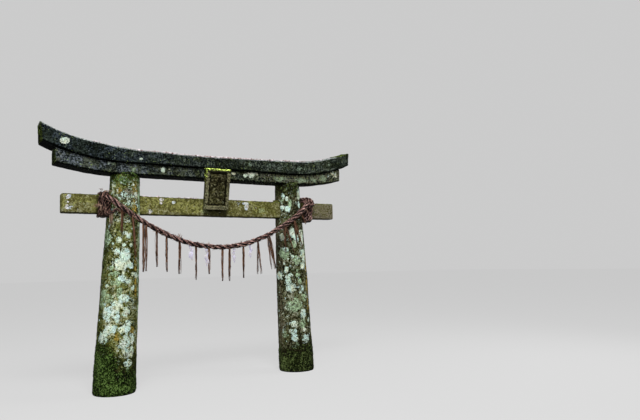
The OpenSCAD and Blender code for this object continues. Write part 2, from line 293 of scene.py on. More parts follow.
def hand_over(piece, material, slot, *nodes):
    """The finished piece rides on the gate, in place of these nodes."""
    piece.data.materials.clear()
    piece.data.materials.append(material)
    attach(piece, "root")
    if nodes:
        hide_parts(*nodes)
    return piece


def corner_array(piece):
    out = np.empty(len(piece.data.vertices) * 3)
    piece.data.vertices.foreach_get("co", out)
    return out.reshape(-1, 3)


def normal_array(piece):
    out = np.empty(len(piece.data.vertices) * 3)
    piece.data.vertices.foreach_get("normal", out)
    return out.reshape(-1, 3)


def rough(corners, size, seed):
    """Noise from about -1 to 1 at each corner, its lumps about size metres across."""
    shift = Vector((seed * 17.31, seed * 5.17, seed * 9.73))
    scaled = corners / size
    return np.array([noise.fractal(Vector(p) + shift, 0.9, 2.0, 3) for p in scaled])


def fade(value, low, high):
    """0 below low, 1 above high, and a smooth rise between them."""
    t = np.clip((value - low) / (high - low), 0, 1)
    return t * t * (3 - 2 * t)


def keep_field(piece, name, values):
    """Keeps one number per corner, which the finishes read."""
    layer = piece.data.attributes.new(name, "FLOAT", "POINT")
    layer.data.foreach_set("value", np.clip(values, 0, 1).astype(np.float32))


# Material helpers

def new_finish(name):
    material = bpy.data.materials.new(name)
    material.use_nodes = True
    material.node_tree.nodes.clear()
    return material, material.node_tree


def put(tree, kind, sockets=None, **settings):
    """Adds a shader node; a socket's value is a number, a colour or another node's output."""
    node = tree.nodes.new(kind)
    for name, value in settings.items():
        setattr(node, name, value)
    for name, value in (sockets or {}).items():
        if isinstance(value, bpy.types.NodeSocket):
            tree.links.new(value, node.inputs[name])
        else:
            node.inputs[name].default_value = value
    return node


def grain(tree, place, scale, detail, roughness, distortion=0.0, stretch=None):
    """Noise on the piece's own coordinates, its lumps about 1/scale metres across."""
    if stretch is not None:
        place = put(tree, "ShaderNodeMapping", {"Vector": place, "Scale": stretch}).outputs[0]
    node = put(tree, "ShaderNodeTexNoise", {
        "Vector": place, "Scale": scale, "Detail": detail, "Roughness": roughness,
        "Distortion": distortion,
    })
    return node.outputs[0]


def between(tree, value, low, high):
    """A smooth step from 0 at low to 1 at high."""
    node = put(tree, "ShaderNodeMapRange", {
        "Value": value, "From Min": low, "From Max": high,
    }, interpolation_type="SMOOTHSTEP")
    return node.outputs[0]


def sums(tree, operation, a, b, clamp=False):
    node = put(tree, "ShaderNodeMath", operation=operation, use_clamp=clamp)
    for socket, value in zip(node.inputs, (a, b)):
        if isinstance(value, bpy.types.NodeSocket):
            tree.links.new(value, socket)
        else:
            socket.default_value = value
    return node.outputs[0]


def blend_of(tree, *parts):
    """The sum of values, each given with its weight."""
    total = sums(tree, "MULTIPLY", *parts[0])
    for value, weight in parts[1:]:
        total = sums(tree, "ADD", total, sums(tree, "MULTIPLY", value, weight))
    return total


def over(tree, share, under, top, blend="MIX"):
    """The colour under, with top laid over it by share."""
    node = put(tree, "ShaderNodeMix", data_type="RGBA", blend_type=blend)
    for socket, value in ((node.inputs[0], share), (node.inputs[6], under), (node.inputs[7], top)):
        if isinstance(value, bpy.types.NodeSocket):
            tree.links.new(value, socket)
        elif isinstance(value, (int, float)):
            socket.default_value = value
        else:
            socket.default_value = (*value, 1.0)
    return node.outputs[2]


def shades(tree, value, stops):
    """A run of colours along value: stops are (place, colour)."""
    node = put(tree, "ShaderNodeValToRGB", {"Fac": value})
    ramp = node.color_ramp
    while len(ramp.elements) < len(stops):
        ramp.elements.new(0.5)
    for element, (place, colour) in zip(ramp.elements, stops):
        element.position = place
        element.color = (*colour, 1.0)
    return node.outputs[0]


def field(tree, name):
    return put(tree, "ShaderNodeAttribute", attribute_name=name).outputs["Fac"]


def tint(colour, share):
    return tuple(min(1.0, share * c) for c in colour)


def shader_of(tree, colour, gloss, relief, shine):
    """The closing shader; shine is the strength of the plain reflection."""
    shader = put(tree, "ShaderNodeBsdfPrincipled", {
        "Base Color": colour, "Roughness": gloss, "Normal": relief.outputs[0],
    })
    shader.inputs["Specular IOR Level"].default_value = shine
    put(tree, "ShaderNodeOutputMaterial", {"Surface": shader.outputs[0]})


def bend(tree, place, scale, push):
    """The coordinates pushed about by noise, which gives cells their lobed outlines."""
    waves = put(tree, "ShaderNodeTexNoise", {
        "Vector": place, "Scale": scale, "Detail": 4.0, "Roughness": 0.65,
    })
    centred = put(tree, "ShaderNodeVectorMath", {0: waves.outputs["Color"], 1: (0.5, 0.5, 0.5)},
                  operation="SUBTRACT")
    return put(tree, "ShaderNodeVectorMath", {0: centred.outputs[0], 1: (push, push, push), 2: place},
               operation="MULTIPLY_ADD").outputs[0]


def cells(tree, place, scale, shift, lobes):
    """Rounded cells: the ragged distance from each heart, and two random numbers per cell."""
    moved = put(tree, "ShaderNodeVectorMath", {0: place, 1: shift}, operation="ADD").outputs[0]
    node = put(tree, "ShaderNodeTexVoronoi", {"Vector": moved, "Scale": scale})
    split = put(tree, "ShaderNodeSeparateColor", {"Color": node.outputs["Color"]})
    return sums(tree, "ADD", node.outputs["Distance"], lobes), split.outputs[0], split.outputs[1]


def growth(tree, cover, heart, luck, most):
    """A growth round the hearts of the lucky cells: cover is the share of cells that carry
    one, and most is its widest reach; it runs from 0 outside to 1 inside."""
    size = sums(tree, "MULTIPLY", sums(tree, "SUBTRACT", sums(tree, "ADD", cover, luck), 1.0), 3.0)
    size = sums(tree, "MINIMUM", size, most)
    return between(tree, sums(tree, "SUBTRACT", size, heart), -0.04, 0.04)


def stone_finish(name, tones, film, worn, moss, pale_lichen=(0.67, 0.76, 0.68),
                 mint_lichen=(0.33, 0.46, 0.28), *, streak, fineness, quilt=0.25, painted_cool_reflection=None,
                 shine=0.04, film_low=0.06):
    """Damp granite with algae film, water streaks, crusts of lichen and moss.

    The fields of damp and painted shade, bare, pale_crust, mint_crust, amber_crust and moss on the piece
    say how thickly each stands; the first darkens the stone and makes it glossier, and is mostly painted
    shade on undersides, in creases, along low edges and where parts meet. Cells and noise give the
    growths their lobes and specks. The five tones run from the pits to the bare grains, and fineness is
    the number of lumps in a metre. film is the algae's colour and film_low its share in the pits, worn is
    the cleaner stone, streak is how strong the water streaks are, quilt how much small growth there is,
    the cool reflection a bluish cast towards the stone's left end, painted as a reflection of bluish
    light, and shine the strength of the plain reflection."""
    material, tree = new_finish(name)
    place = put(tree, "ShaderNodeTexCoord").outputs["Object"]

    broad = grain(tree, place, 3.1, 5.0, 0.6, 0.5)
    lumps = grain(tree, place, fineness, 3.0, 0.55, 0.4)
    fine = grain(tree, place, 52.0, 4.0, 0.60)
    grit = grain(tree, place, 120.0, 3.0, 0.6)
    running = grain(tree, place, 13.0, 6.0, 0.6, 0.2, stretch=(1.0, 1.0, 0.14))
    speck = sums(tree, "SUBTRACT", fine, 0.5)
    lump = sums(tree, "SUBTRACT", lumps, 0.5)
    bent = bend(tree, place, 26.0, 0.15)
    lobes = sums(tree, "MULTIPLY", sums(tree, "SUBTRACT", grain(tree, place, 85.0, 4.0, 0.65), 0.5), 1.3)
    heart_small, luck_small, pick_small = cells(tree, bent, 34.0, (3.1, 1.7, 0.4), lobes)
    heart_mid, luck_mid, pick_mid = cells(tree, bent, 20.0, (0.3, 5.2, 2.9), lobes)
    heart_large, luck_large, pick_large = cells(tree, bent, 11.5, (7.7, 0.6, 4.1), lobes)

    body = blend_of(tree, (broad, 0.20), (lumps, 0.48), (fine, 0.32))
    colour = shades(tree, body, list(zip((0.445, 0.475, 0.500, 0.525, 0.560), tones)))
    # green-brown film of algae in clouds
    film_tone = shades(tree, body, [
        (0.44, tint(film, film_low)), (0.475, tint(film, 0.36 + 0.65 * film_low)), (0.51, film),
        (0.56, tint(film, 2.2))])
    cloud = between(tree, grain(tree, place, 6.0, 7.0, 0.68, 0.6), 0.47, 0.54)
    colour = over(tree, sums(tree, "MULTIPLY", cloud, 0.75), colour, film_tone)
    # a bluish cast towards the left end: painted reflection of bluish light
    if painted_cool_reflection is not None:
        across = put(tree, "ShaderNodeSeparateXYZ", {"Vector": place}).outputs[0]
        share = between(tree, across, 0.6, -1.7)
        colour = over(tree, share, colour, painted_cool_reflection, "MULTIPLY")
    # cleaner stone where the fields call for it
    bare_edge = blend_of(tree, (speck, 1.6), (lump, 1.2))
    bare = between(tree, sums(tree, "ADD", field(tree, "bare"), bare_edge), 0.35, 0.65)
    bare_tone = shades(tree, fine, [
        (0.42, tint(worn, 0.30)), (0.47, tint(worn, 0.75)), (0.52, worn), (0.58, tint(worn, 1.6))])
    colour = over(tree, sums(tree, "MULTIPLY", bare, 0.92), colour, bare_tone)
    # a patchwork of small thin growths
    quilt_tone = shades(tree, pick_small, [
        (0.00, tint(tones[0], 0.6)), (0.25, tint(tones[1], 0.8)), (0.45, film), (0.62, tones[2]),
        (0.80, tones[3]), (0.92, tint(mint_lichen, 0.7)), (1.00, tones[4])])
    quilt_share = growth(tree, quilt, heart_small, luck_small, 0.55)
    colour = over(tree, sums(tree, "MULTIPLY", quilt_share, 0.80), colour, quilt_tone)
    # mineral grains, light and dark
    light_grains = sums(tree, "MULTIPLY", between(tree, grit, 0.58, 0.66), 0.35)
    dark_grains = sums(tree, "MULTIPLY", between(tree, grit, 0.44, 0.36), 0.60)
    colour = over(tree, light_grains, colour, tones[3])
    colour = over(tree, dark_grains, colour, tint(tones[0], 0.6))
    # dark water streaks down the upright faces
    wet_line = sums(tree, "MULTIPLY", between(tree, running, 0.52, 0.60), streak)
    colour = over(tree, wet_line, colour, tint(tones[1], 0.8))

    # darker and glossier where the field of damp and painted shade stands: mostly painted shade on
    # undersides, in creases, along low edges and where parts meet, partly damp
    shade_and_damp_edge = sums(tree, "MULTIPLY", speck, 1.2)
    damp_and_painted_shade = between(tree, sums(tree, "ADD", field(tree, "damp_and_painted_shade"), shade_and_damp_edge), 0.30, 0.75)
    colour = over(tree, sums(tree, "MULTIPLY", damp_and_painted_shade, 0.90), colour, tint(tones[0], 0.4))

    amber_share = growth(tree, field(tree, "amber_crust"), heart_small, pick_mid, 0.85)
    amber_tone = shades(tree, fine, [
        (0.42, (0.06, 0.04, 0.004)), (0.50, (0.26, 0.17, 0.015)), (0.58, (0.50, 0.36, 0.07))])
    colour = over(tree, sums(tree, "MULTIPLY", amber_share, 0.85), colour, amber_tone)

    mint_cover = field(tree, "mint_crust")
    mint = sums(tree, "MAXIMUM",
                growth(tree, mint_cover, heart_mid, pick_mid, 0.70),
                growth(tree, sums(tree, "MULTIPLY", mint_cover, 1.2), heart_small, pick_small, 0.60))
    mint_tone = shades(tree, fine, [
        (0.41, tint(mint_lichen, 0.35)), (0.47, tint(mint_lichen, 0.85)), (0.54, tint(mint_lichen, 1.2)),
        (0.60, tint(mint_lichen, 1.6))])
    colour = over(tree, sums(tree, "MULTIPLY", mint, 0.90), colour, mint_tone)

    pale_cover = field(tree, "pale_crust")
    crust = sums(tree, "MAXIMUM",
                 growth(tree, sums(tree, "MULTIPLY", pale_cover, 0.85), heart_large, luck_large, 0.66),
                 growth(tree, pale_cover, heart_mid, luck_mid, 0.62))
    crust = sums(tree, "MAXIMUM", crust,
                 growth(tree, sums(tree, "MULTIPLY", pale_cover, 1.3), heart_small, luck_small, 0.58))
    crust_tone = shades(tree, blend_of(tree, (lumps, 0.4), (fine, 0.3), (grit, 0.3)), [
        (0.41, tint(mint_lichen, 0.75)), (0.455, tint(pale_lichen, 0.78)), (0.50, pale_lichen),
        (0.56, tint(pale_lichen, 1.30))])
    # each thallus has its own cast, bluish, greenish or cream
    cast = shades(tree, blend_of(tree, (pick_large, 0.5), (pick_mid, 0.5)), [
        (0.25, (0.86, 1.00, 1.08)), (0.45, (0.84, 0.98, 0.88)), (0.60, (1.0, 1.0, 1.0)),
        (0.80, (0.96, 0.92, 0.74))])
    crust_tone = over(tree, 1.0, crust_tone, cast, "MULTIPLY")
    colour = over(tree, sums(tree, "MULTIPLY", crust, 0.96), colour, crust_tone)

    tufts = grain(tree, place, 78.0, 3.0, 0.60, 0.3)
    ragged = blend_of(tree, (speck, 2.4), (lump, 1.6))
    moss_share = between(tree, sums(tree, "ADD", field(tree, "moss"), ragged), 0.44, 0.54)
    moss_share = sums(tree, "MULTIPLY", moss_share, between(tree, field(tree, "moss"), 0.0, 0.07))
    moss_tone = shades(tree, blend_of(tree, (tufts, 0.55), (lumps, 0.25), (broad, 0.20)), [
        (at, tuple(share * c + ash for c in moss)) for at, share, ash in (
            (0.445, 0.04, 0.0), (0.480, 0.18, 0.0), (0.508, 0.65, 0.0), (0.540, 2.8, 0.006),
            (0.580, 7.0, 0.045))])
    colour = over(tree, moss_share, colour, moss_tone)

    gloss = sums(tree, "ADD", blend_of(tree, (damp_and_painted_shade, -0.20), (lump, 0.5)), 0.82)
    gloss = sums(tree, "MAXIMUM", gloss, sums(tree, "MULTIPLY", moss_share, 0.95), clamp=True)
    height = blend_of(tree, (fine, 1.2), (grit, 0.25), (crust, 0.16),
                      (sums(tree, "MULTIPLY", moss_share, tufts), 1.8))
    relief = put(tree, "ShaderNodeBump", {"Height": height, "Strength": 1.0, "Distance": 0.014})
    shader_of(tree, colour, gloss, relief, shine)
    return material


def laid_straw_finish(name, dark, mid, pale, deep):
    """Twisted rice straw: fibres along the lay, with painted shade, near black, in the grooves between
    strands and on the underside.
    """
    material, tree = new_finish(name)
    lay = put(tree, "ShaderNodeUVMap", uv_map="lay").outputs[0]
    place = put(tree, "ShaderNodeTexCoord").outputs["Object"]
    fibres = grain(tree, lay, 1.0, 4.0, 0.6, 0.0, stretch=(9.0, 420.0, 1.0))
    bands = grain(tree, lay, 1.0, 3.0, 0.6, 0.0, stretch=(22.0, 90.0, 1.0))
    stains = grain(tree, place, 11.0, 5.0, 0.6, 0.3)
    wear = grain(tree, place, 45.0, 3.0, 0.6, 0.5)
    tone = blend_of(tree, (fibres, 0.30), (bands, 0.30), (stains, 0.10), (wear, 0.30))
    colour = shades(tree, tone, [(0.455, dark), (0.505, mid), (0.565, pale)])
    # painted shade in the grooves between strands and on the rope's underside
    painted_rope_shade = field(tree, "painted_rope_shade")
    colour = over(tree, sums(tree, "MULTIPLY", painted_rope_shade, 0.97), colour, deep)
    height = blend_of(tree, (fibres, 1.0), (bands, 0.6))
    relief = put(tree, "ShaderNodeBump", {"Height": height, "Strength": 0.8, "Distance": 0.003})
    gloss = sums(tree, "ADD", sums(tree, "MULTIPLY", fibres, -0.25), 0.72)
    shader_of(tree, colour, gloss, relief, 0.15)
    return material


def loose_straw_finish(name, dark, mid, pale):
    """Single straws: each has its own tone, with damp stains across them all."""
    material, tree = new_finish(name)
    place = put(tree, "ShaderNodeTexCoord").outputs["Object"]
    own = put(tree, "ShaderNodeNewGeometry").outputs["Random Per Island"]
    stains = grain(tree, place, 16.0, 4.0, 0.6, 0.3)
    fibres = grain(tree, place, 240.0, 3.0, 0.6, 0.0, stretch=(1.0, 1.0, 0.15))
    tone = blend_of(tree, (own, 0.55), (stains, 0.60), (fibres, 0.40))
    colour = shades(tree, tone, [(0.50, dark), (0.72, mid), (1.00, pale)])
    relief = put(tree, "ShaderNodeBump", {"Height": fibres, "Strength": 0.5, "Distance": 0.001})
    gloss = sums(tree, "ADD", sums(tree, "MULTIPLY", fibres, -0.25), 0.78)
    shader_of(tree, colour, gloss, relief, 0.15)
    return material


def paper_finish(name):
    """White handmade paper, a little bluish in the shade, with long fibres and damp stains."""
    material, tree = new_finish(name)
    place = put(tree, "ShaderNodeTexCoord").outputs["Object"]
    fibres = grain(tree, place, 120.0, 5.0, 0.6, 1.5, stretch=(1.0, 1.0, 0.3))
    stains = grain(tree, place, 26.0, 4.0, 0.6)
    colour = shades(tree, fibres, [(0.35, (0.36, 0.34, 0.44)), (0.60, (0.56, 0.54, 0.66))])
    stain = sums(tree, "MULTIPLY", between(tree, stains, 0.48, 0.62), 0.60)
    colour = over(tree, stain, colour, (0.46, 0.42, 0.34))
    relief = put(tree, "ShaderNodeBump", {"Height": fibres, "Strength": 0.4, "Distance": 0.001})
    gloss = sums(tree, "ADD", sums(tree, "MULTIPLY", fibres, 0.2), 0.62)
    shader_of(tree, colour, gloss, relief, 0.30)
    return material


def crumb_finish(name):
    """Dry crumbs, each its own shade from brown to a pale pinkish grey."""
    material, tree = new_finish(name)
    place = put(tree, "ShaderNodeTexCoord").outputs["Object"]
    own = put(tree, "ShaderNodeNewGeometry").outputs["Random Per Island"]
    spots = grain(tree, place, 150.0, 3.0, 0.6)
    tone = blend_of(tree, (own, 0.7), (spots, 0.6))
    colour = shades(tree, tone, [
        (0.32, (0.11, 0.06, 0.05)), (0.50, (0.30, 0.22, 0.21)), (0.80, (0.62, 0.56, 0.58))])
    relief = put(tree, "ShaderNodeBump", {"Height": spots, "Strength": 0.4, "Distance": 0.001})
    gloss = sums(tree, "ADD", sums(tree, "MULTIPLY", spots, 0.2), 0.60)
    shader_of(tree, colour, gloss, relief, 0.20)
    return material


left_pillar_stone = stone_finish(
    "granite_of_the_left_pillar",
    ((0.004, 0.006, 0.001), (0.026, 0.033, 0.003), (0.120, 0.128, 0.027), (0.320, 0.325, 0.140),
     (0.540, 0.560, 0.400)),
    (0.085, 0.092, 0.009), (0.30, 0.28, 0.20), (0.015, 0.029, 0.003), streak=0.45, fineness=32.0)
right_pillar_stone = stone_finish(
    "granite_of_the_right_pillar",
    ((0.004, 0.003, 0.001), (0.014, 0.013, 0.003), (0.062, 0.060, 0.022), (0.180, 0.178, 0.100),
     (0.420, 0.430, 0.330)),
    (0.036, 0.040, 0.007), (0.115, 0.096, 0.062), (0.014, 0.021, 0.003), streak=0.45, fineness=30.0)
beam_stone = stone_finish(
    "granite_of_the_tie_beam",
    ((0.052, 0.047, 0.012), (0.090, 0.083, 0.023), (0.128, 0.120, 0.041), (0.172, 0.168, 0.068),
     (0.270, 0.270, 0.155)),
    (0.125, 0.124, 0.030), (0.135, 0.118, 0.085), (0.040, 0.050, 0.006), (0.56, 0.54, 0.57),
    (0.23, 0.26, 0.12), streak=0.25, quilt=0.12, fineness=30.0, film_low=0.42)
lower_lintel_stone = stone_finish(
    "dark_granite_of_the_lower_lintel",
    ((0.0030, 0.0042, 0.0032), (0.0120, 0.0165, 0.0120), (0.0290, 0.0360, 0.0270), (0.0640, 0.0740, 0.0580),
     (0.1500, 0.1660, 0.1350)),
    (0.030, 0.034, 0.012), (0.19, 0.175, 0.115), (0.024, 0.034, 0.008), (0.56, 0.57, 0.48),
    (0.20, 0.26, 0.17), streak=0.20, quilt=0.20, fineness=46.0, painted_cool_reflection=(0.95, 0.98, 1.40), shine=0.004)
top_lintel_stone = stone_finish(
    "dark_granite_of_the_top_lintel",
    ((0.0015, 0.0022, 0.0018), (0.0060, 0.0088, 0.0066), (0.0165, 0.0220, 0.0166), (0.0370, 0.0460, 0.0370),
     (0.0800, 0.0940, 0.0760)),
    (0.013, 0.017, 0.007), (0.30, 0.33, 0.32), (0.030, 0.042, 0.006), (0.50, 0.54, 0.47), (0.14, 0.19, 0.14),
    streak=0.20, quilt=0.20, fineness=46.0, painted_cool_reflection=(0.64, 0.69, 1.02), shine=0.004)
tablet_stone = stone_finish(
    "dark_granite_of_the_tablet",
    ((0.0060, 0.0050, 0.0020), (0.0200, 0.0180, 0.0070), (0.0440, 0.0390, 0.0170), (0.0860, 0.0790, 0.0400),
     (0.1500, 0.1500, 0.0920)),
    (0.048, 0.046, 0.016), (0.160, 0.152, 0.085), (0.270, 0.340, 0.065), (0.26, 0.28, 0.20),
    (0.13, 0.17, 0.08), streak=0.25, quilt=0.18, fineness=34.0, shine=0.01, film_low=0.20)
# the last colour of each rope straw is its painted shade in the grooves and underneath
straw_of_rope = laid_straw_finish(
    "weathered_rope_straw", (0.012, 0.004, 0.003), (0.108, 0.047, 0.038), (0.56, 0.35, 0.31),
    (0.0015, 0.0007, 0.0006))
# a darker copy of the rope straw: painted shade for the left turns, which lie in the lintel's shade
rope_straw_darkened_as_painted_shade = laid_straw_finish(
    "rope_straw_darkened_as_painted_shade_of_the_left_turns", (0.006, 0.003, 0.002), (0.062, 0.026, 0.020), (0.40, 0.23, 0.18),
    (0.0012, 0.0006, 0.0005))
straw_of_strays = loose_straw_finish(
    "stray_rope_straw", (0.018, 0.008, 0.005), (0.120, 0.062, 0.044), (0.42, 0.28, 0.20))
straw_of_tassels = loose_straw_finish(
    "reddish_tassel_straw", (0.020, 0.008, 0.004), (0.095, 0.042, 0.022), (0.230, 0.120, 0.070))
streamer_paper = paper_finish("folded_white_paper")
dry_crumbs = crumb_finish("pale_dry_crumbs")


# Stones

def axis_x(side, height):
    """X of a shaft's axis at a height; side is -1 for left and 1 for right."""
    return side * (FOOT_X - height * math.tan(LEAN))


def shaft_radius(height):
    return FOOT_R - (FOOT_R - HEAD_R) * (max(height, 0.0) / math.cos(LEAN) / LOWER_Z) ** BELLY


def sweep(x, rise, half):
    """Height that a lintel's upward sweep adds at x."""
    return rise * (np.maximum(np.abs(x) - SWEEP_X, 0) / (half - SWEEP_X)) ** 2


def lower_under(x):
    """Height of the lower lintel's underside."""
    return LOWER_Z + sweep(x, LOWER_RISE, LOWER_HALF)


def joint_at(x):
    """Height of the joint between the lintels."""
    return JOINT_Z + sweep(x, JOINT_RISE, TOP_HALF)


def even_edge(x):
    """Height of the top lintel's upper edge in its even sweep."""
    return JOINT_Z + TOP_H + sweep(x, TOP_RISE, TOP_HALF)


def top_edge(x):
    """Height of the top lintel's upper edge as it is worn."""
    return even_edge(x) + np.interp(x, *zip(*TOP_WEAR))


def on_shaft(side, height, bearing):
    turn = math.radians(bearing)
    r = shaft_radius(height)
    return np.array([axis_x(side, height) + r * math.sin(turn), -r * math.cos(turn), height])


def patch_field(corners, patches, ragged):
    """How deep in a patch each corner lies, from 0 outside to 1 at its heart.

    A patch is a centre point with a half width and a half height."""
    out = np.zeros(len(corners))
    for centre, half_w, half_h in patches:
        away = corners - centre
        q = np.sqrt((away[:, 0] ** 2 + away[:, 1] ** 2) / half_w ** 2 + away[:, 2] ** 2 / half_h ** 2)
        out = np.maximum(out, fade(1.40 - q - 0.40 * ragged, 0.0, 0.75))
    return out


def chance_patches(count, seed, make_point, small, large):
    """Seeded lichens, for the sides and backs and for the small ones between those in the tables."""
    chance = random.Random(seed)
    out = []
    for _ in range(count):
        size = small + (large - small) * chance.random() ** 2
        out.append((make_point(chance), size * chance.uniform(0.7, 1.2), size * chance.uniform(0.8, 1.4)))
    return out


def raise_lumps(piece, size, depth, height, group=""):
    """Uneven relief with lumps about size metres across, all over or where the group is."""
    lumps = bpy.data.textures.new("lumps", "CLOUDS")
    lumps.noise_scale = size
    lumps.noise_depth = depth
    finish_with(piece, "DISPLACE", texture=lumps, texture_coords="LOCAL", strength=height,
                mid_level=0.0 if group else 0.5, vertex_group=group)


def raise_growth(piece, name, share, size, height):
    """Moss or crust stands proud of the stone where its share is high."""
    group = piece.vertex_groups.new(name=name)
    level = np.round(np.clip(share, 0, 1) * 12).astype(int)
    for step in range(1, 13):
        group.add(np.flatnonzero(level == step).tolist(), step / 12, "REPLACE")
    raise_lumps(piece, size, 2, height, name)
    piece.vertex_groups.clear()


def dress_stone(piece, node, material, slot, fields, moss_height, crust_height):
    """Keeps the fields, lifts the growths and puts the piece in its node's place."""
    for name in ("damp_and_painted_shade", "bare", "pale_crust", "mint_crust", "amber_crust", "moss"):
        keep_field(piece, name, fields[name])
    above_ground = fade(corner_array(piece)[:, 2], 0.0, 0.03)
    raise_growth(piece, "moss_cushions", fade(fields["moss"], 0.3, 0.9) * above_ground, 0.030, moss_height)
    crust = fade(np.maximum(fields["pale_crust"], fields["mint_crust"]), 0.45, 0.75)
    raise_growth(piece, "crusts", crust, 0.020, crust_height)
    only(piece)
    bpy.ops.object.shade_smooth()
    return hand_over(piece, material, slot, node)


def make_pillar(node, side, stone, pale, mint, amber, moss_tops, moss_and_painted_shade_on_left, brown_side, grey_head, seed):
    """A bellied shaft. moss_tops are the heights that the foot's moss reaches on its left
    and on its right half. Of the two shares for its left side, the green one says how green with moss it
    is, moss that also stands in as painted shade there, and the brown one how brown and bare it is;
    grey_head says how grey with crusts and bare stone its head is."""
    piece = copy_of_node(node, node + "_weathered")
    finish_with(piece, "REMESH", mode="VOXEL", voxel_size=0.0115)
    raise_lumps(piece, 0.26, 1, 0.012)
    raise_lumps(piece, 0.05, 3, 0.009)
    # the foot is cut flat on the ground
    bpy.ops.object.mode_set(mode="EDIT")
    pick(piece, lambda place: place.z < 0.012)
    bpy.ops.transform.translate(value=(0, 0, -0.025))
    bpy.ops.mesh.select_all(action="SELECT")
    bpy.ops.mesh.bisect(plane_co=(0, 0, 0), plane_no=(0, 0, 1), clear_inner=True, use_fill=True)
    bpy.ops.object.mode_set(mode="OBJECT")

    corners = corner_array(piece)
    ragged = rough(corners, 0.06, seed + 10)
    blotch = rough(corners, 0.22, seed + 11)
    z = corners[:, 2]
    bearing = np.degrees(np.arctan2(corners[:, 0] - side * (FOOT_X - z * math.tan(LEAN)), -corners[:, 1]))

    def somewhere(chance):
        return on_shaft(side, 0.35 + 2.2 * chance.random() ** 1.3, chance.uniform(70, 250))

    def between_the_large(chance):
        return on_shaft(side, chance.uniform(0.45, 2.45), chance.uniform(-110, 80))

    pale_at = [(on_shaft(side, h, b), w, t) for h, b, w, t in pale]
    mint_at = [(on_shaft(side, h, b), w, t) for h, b, w, t in mint]
    pale_at += chance_patches(16, seed + 12, somewhere, 0.025, 0.110)
    mint_at += chance_patches(10, seed + 13, somewhere, 0.030, 0.090)
    pale_at += chance_patches(22, seed + 14, between_the_large, 0.012, 0.028)
    open_band = fade(z, 0.30, 0.60) * (1 - 0.35 * fade(z, 1.90, 2.30))
    moss_top = moss_tops[0] + (moss_tops[1] - moss_tops[0]) * fade(bearing, -45, 5)
    foot = 1 - fade(z + 0.12 * blotch + 0.05 * ragged, moss_top - 0.34, moss_top + 0.34)
    upper = 0.16 + 0.42 * fade(z, 2.60, 2.86) + 0.18 * blotch * fade(z, 1.9, 2.4)
    left_side = fade(-bearing, 30, 78)
    head = grey_head * fade(z, 2.10, 2.30) * (1 - fade(z, 2.74, 2.86))
    dress_stone(piece, node, stone, "pillar_stone", {
        "pale_crust": 0.03 + 0.12 * head + 0.09 * open_band * (1 + 0.9 * blotch) - 0.40 * foot
        + (0.74 + 0.14 * fade(z, 1.1, 1.6)) * patch_field(corners, pale_at, ragged),
        "mint_crust": 0.03 + 0.06 * head + 0.08 * open_band * (1 - 0.9 * blotch) - 0.40 * foot
        + (0.66 + 0.19 * fade(z, 1.1, 1.6)) * patch_field(corners, mint_at, ragged),
        "amber_crust": 0.03 + 0.04 * blotch + 0.92 * patch_field(
            corners, [(on_shaft(side, h, b), w, t) for h, b, w, t in amber], ragged),
        # more moss on the left side, which also stands in as painted shade on that side
        "moss": np.maximum(np.maximum(0.98 * foot, upper), moss_and_painted_shade_on_left * left_side * fade(z, 0.2, 0.5)),
        "bare": brown_side * left_side * (1 - 0.7 * foot) + 0.12 * open_band * blotch
        + 0.32 * head * (1 + blotch),
        # painted shade round the beam's passage and under the lower lintel, and darker towards the ground
        "damp_and_painted_shade": 0.50 * (1 - fade(np.abs(z - BEAM_Z - 0.5 * BEAM_H), 0.125, 0.15))
        + 0.75 * fade(z, LOWER_Z - 0.05, LOWER_Z + 0.01) + 0.25 * (1 - fade(z, 0.0, 0.10)),
    }, SHAFT_MOSS_H, SHAFT_CRUST_H)


def make_bar(node, material, slot, voxel, edge, front_y, pale, mint, lay_fields, seed, swell=0.010,
             pits=0.007, wear=None):
    """A stone bar or block: worn edges, then relief and fields. voxel is the cell of its mesh and
    edge the width of its worn arris. swell and pits are the heights of the broad and of the small
    relief. wear, if given, gives how far each corner has come up or down from the even shape."""
    piece = copy_of_node(node, node + "_weathered")
    finish_with(piece, "BEVEL", width=edge, segments=2, limit_method="ANGLE",
                angle_limit=math.radians(35), affect="EDGES")
    finish_with(piece, "REMESH", mode="VOXEL", voxel_size=voxel)
    raise_lumps(piece, 0.26, 1, swell)
    raise_lumps(piece, 0.045, 3, pits)
    corners = corner_array(piece)
    if wear is not None:
        corners[:, 2] += wear(corners)
        piece.data.vertices.foreach_set("co", corners.ravel())
        piece.data.update()
    ragged = rough(corners, 0.06, seed + 10)
    blotch = rough(corners, 0.30, seed + 11)
    pale_at = [(np.array([x, front_y, z]), w, h) for x, z, w, h in pale]
    mint_at = [(np.array([x, front_y, z]), w, h) for x, z, w, h in mint]
    fields = {
        "pale_crust": 0.96 * patch_field(corners, pale_at, ragged),
        "mint_crust": 0.80 * patch_field(corners, mint_at, ragged),
        "amber_crust": np.zeros(len(corners)),
    }
    lay_fields(fields, corners, normal_array(piece), ragged, blotch)
    dress_stone(piece, node, material, slot, fields, BAR_MOSS_H, BAR_CRUST_H)


def worn_top(corners):
    """How far each corner of the top lintel has come up or down: the upper half follows the
    worn edge, the pitched top is flatter towards the right tip, and the left tip's back rises."""
    x, y, z = corners[:, 0], corners[:, 1], corners[:, 2]
    even = even_edge(x)
    share = np.clip((z - joint_at(x)) / (even - joint_at(x)), 0, 1)
    flatter = 0.5 * RIDGE_H * fade(x, 1.4, 2.0) * np.clip(1 - np.abs(y) / (TOP_T / 2), 0, 1)
    tip_back = TIP_LIFT * fade(-x, 2.02, 2.34) * np.clip(0.5 + y / TOP_T, 0, 1)
    return (top_edge(x) - even) * share - flatter * fade(z - even, -0.03, 0.0) + tip_back * share


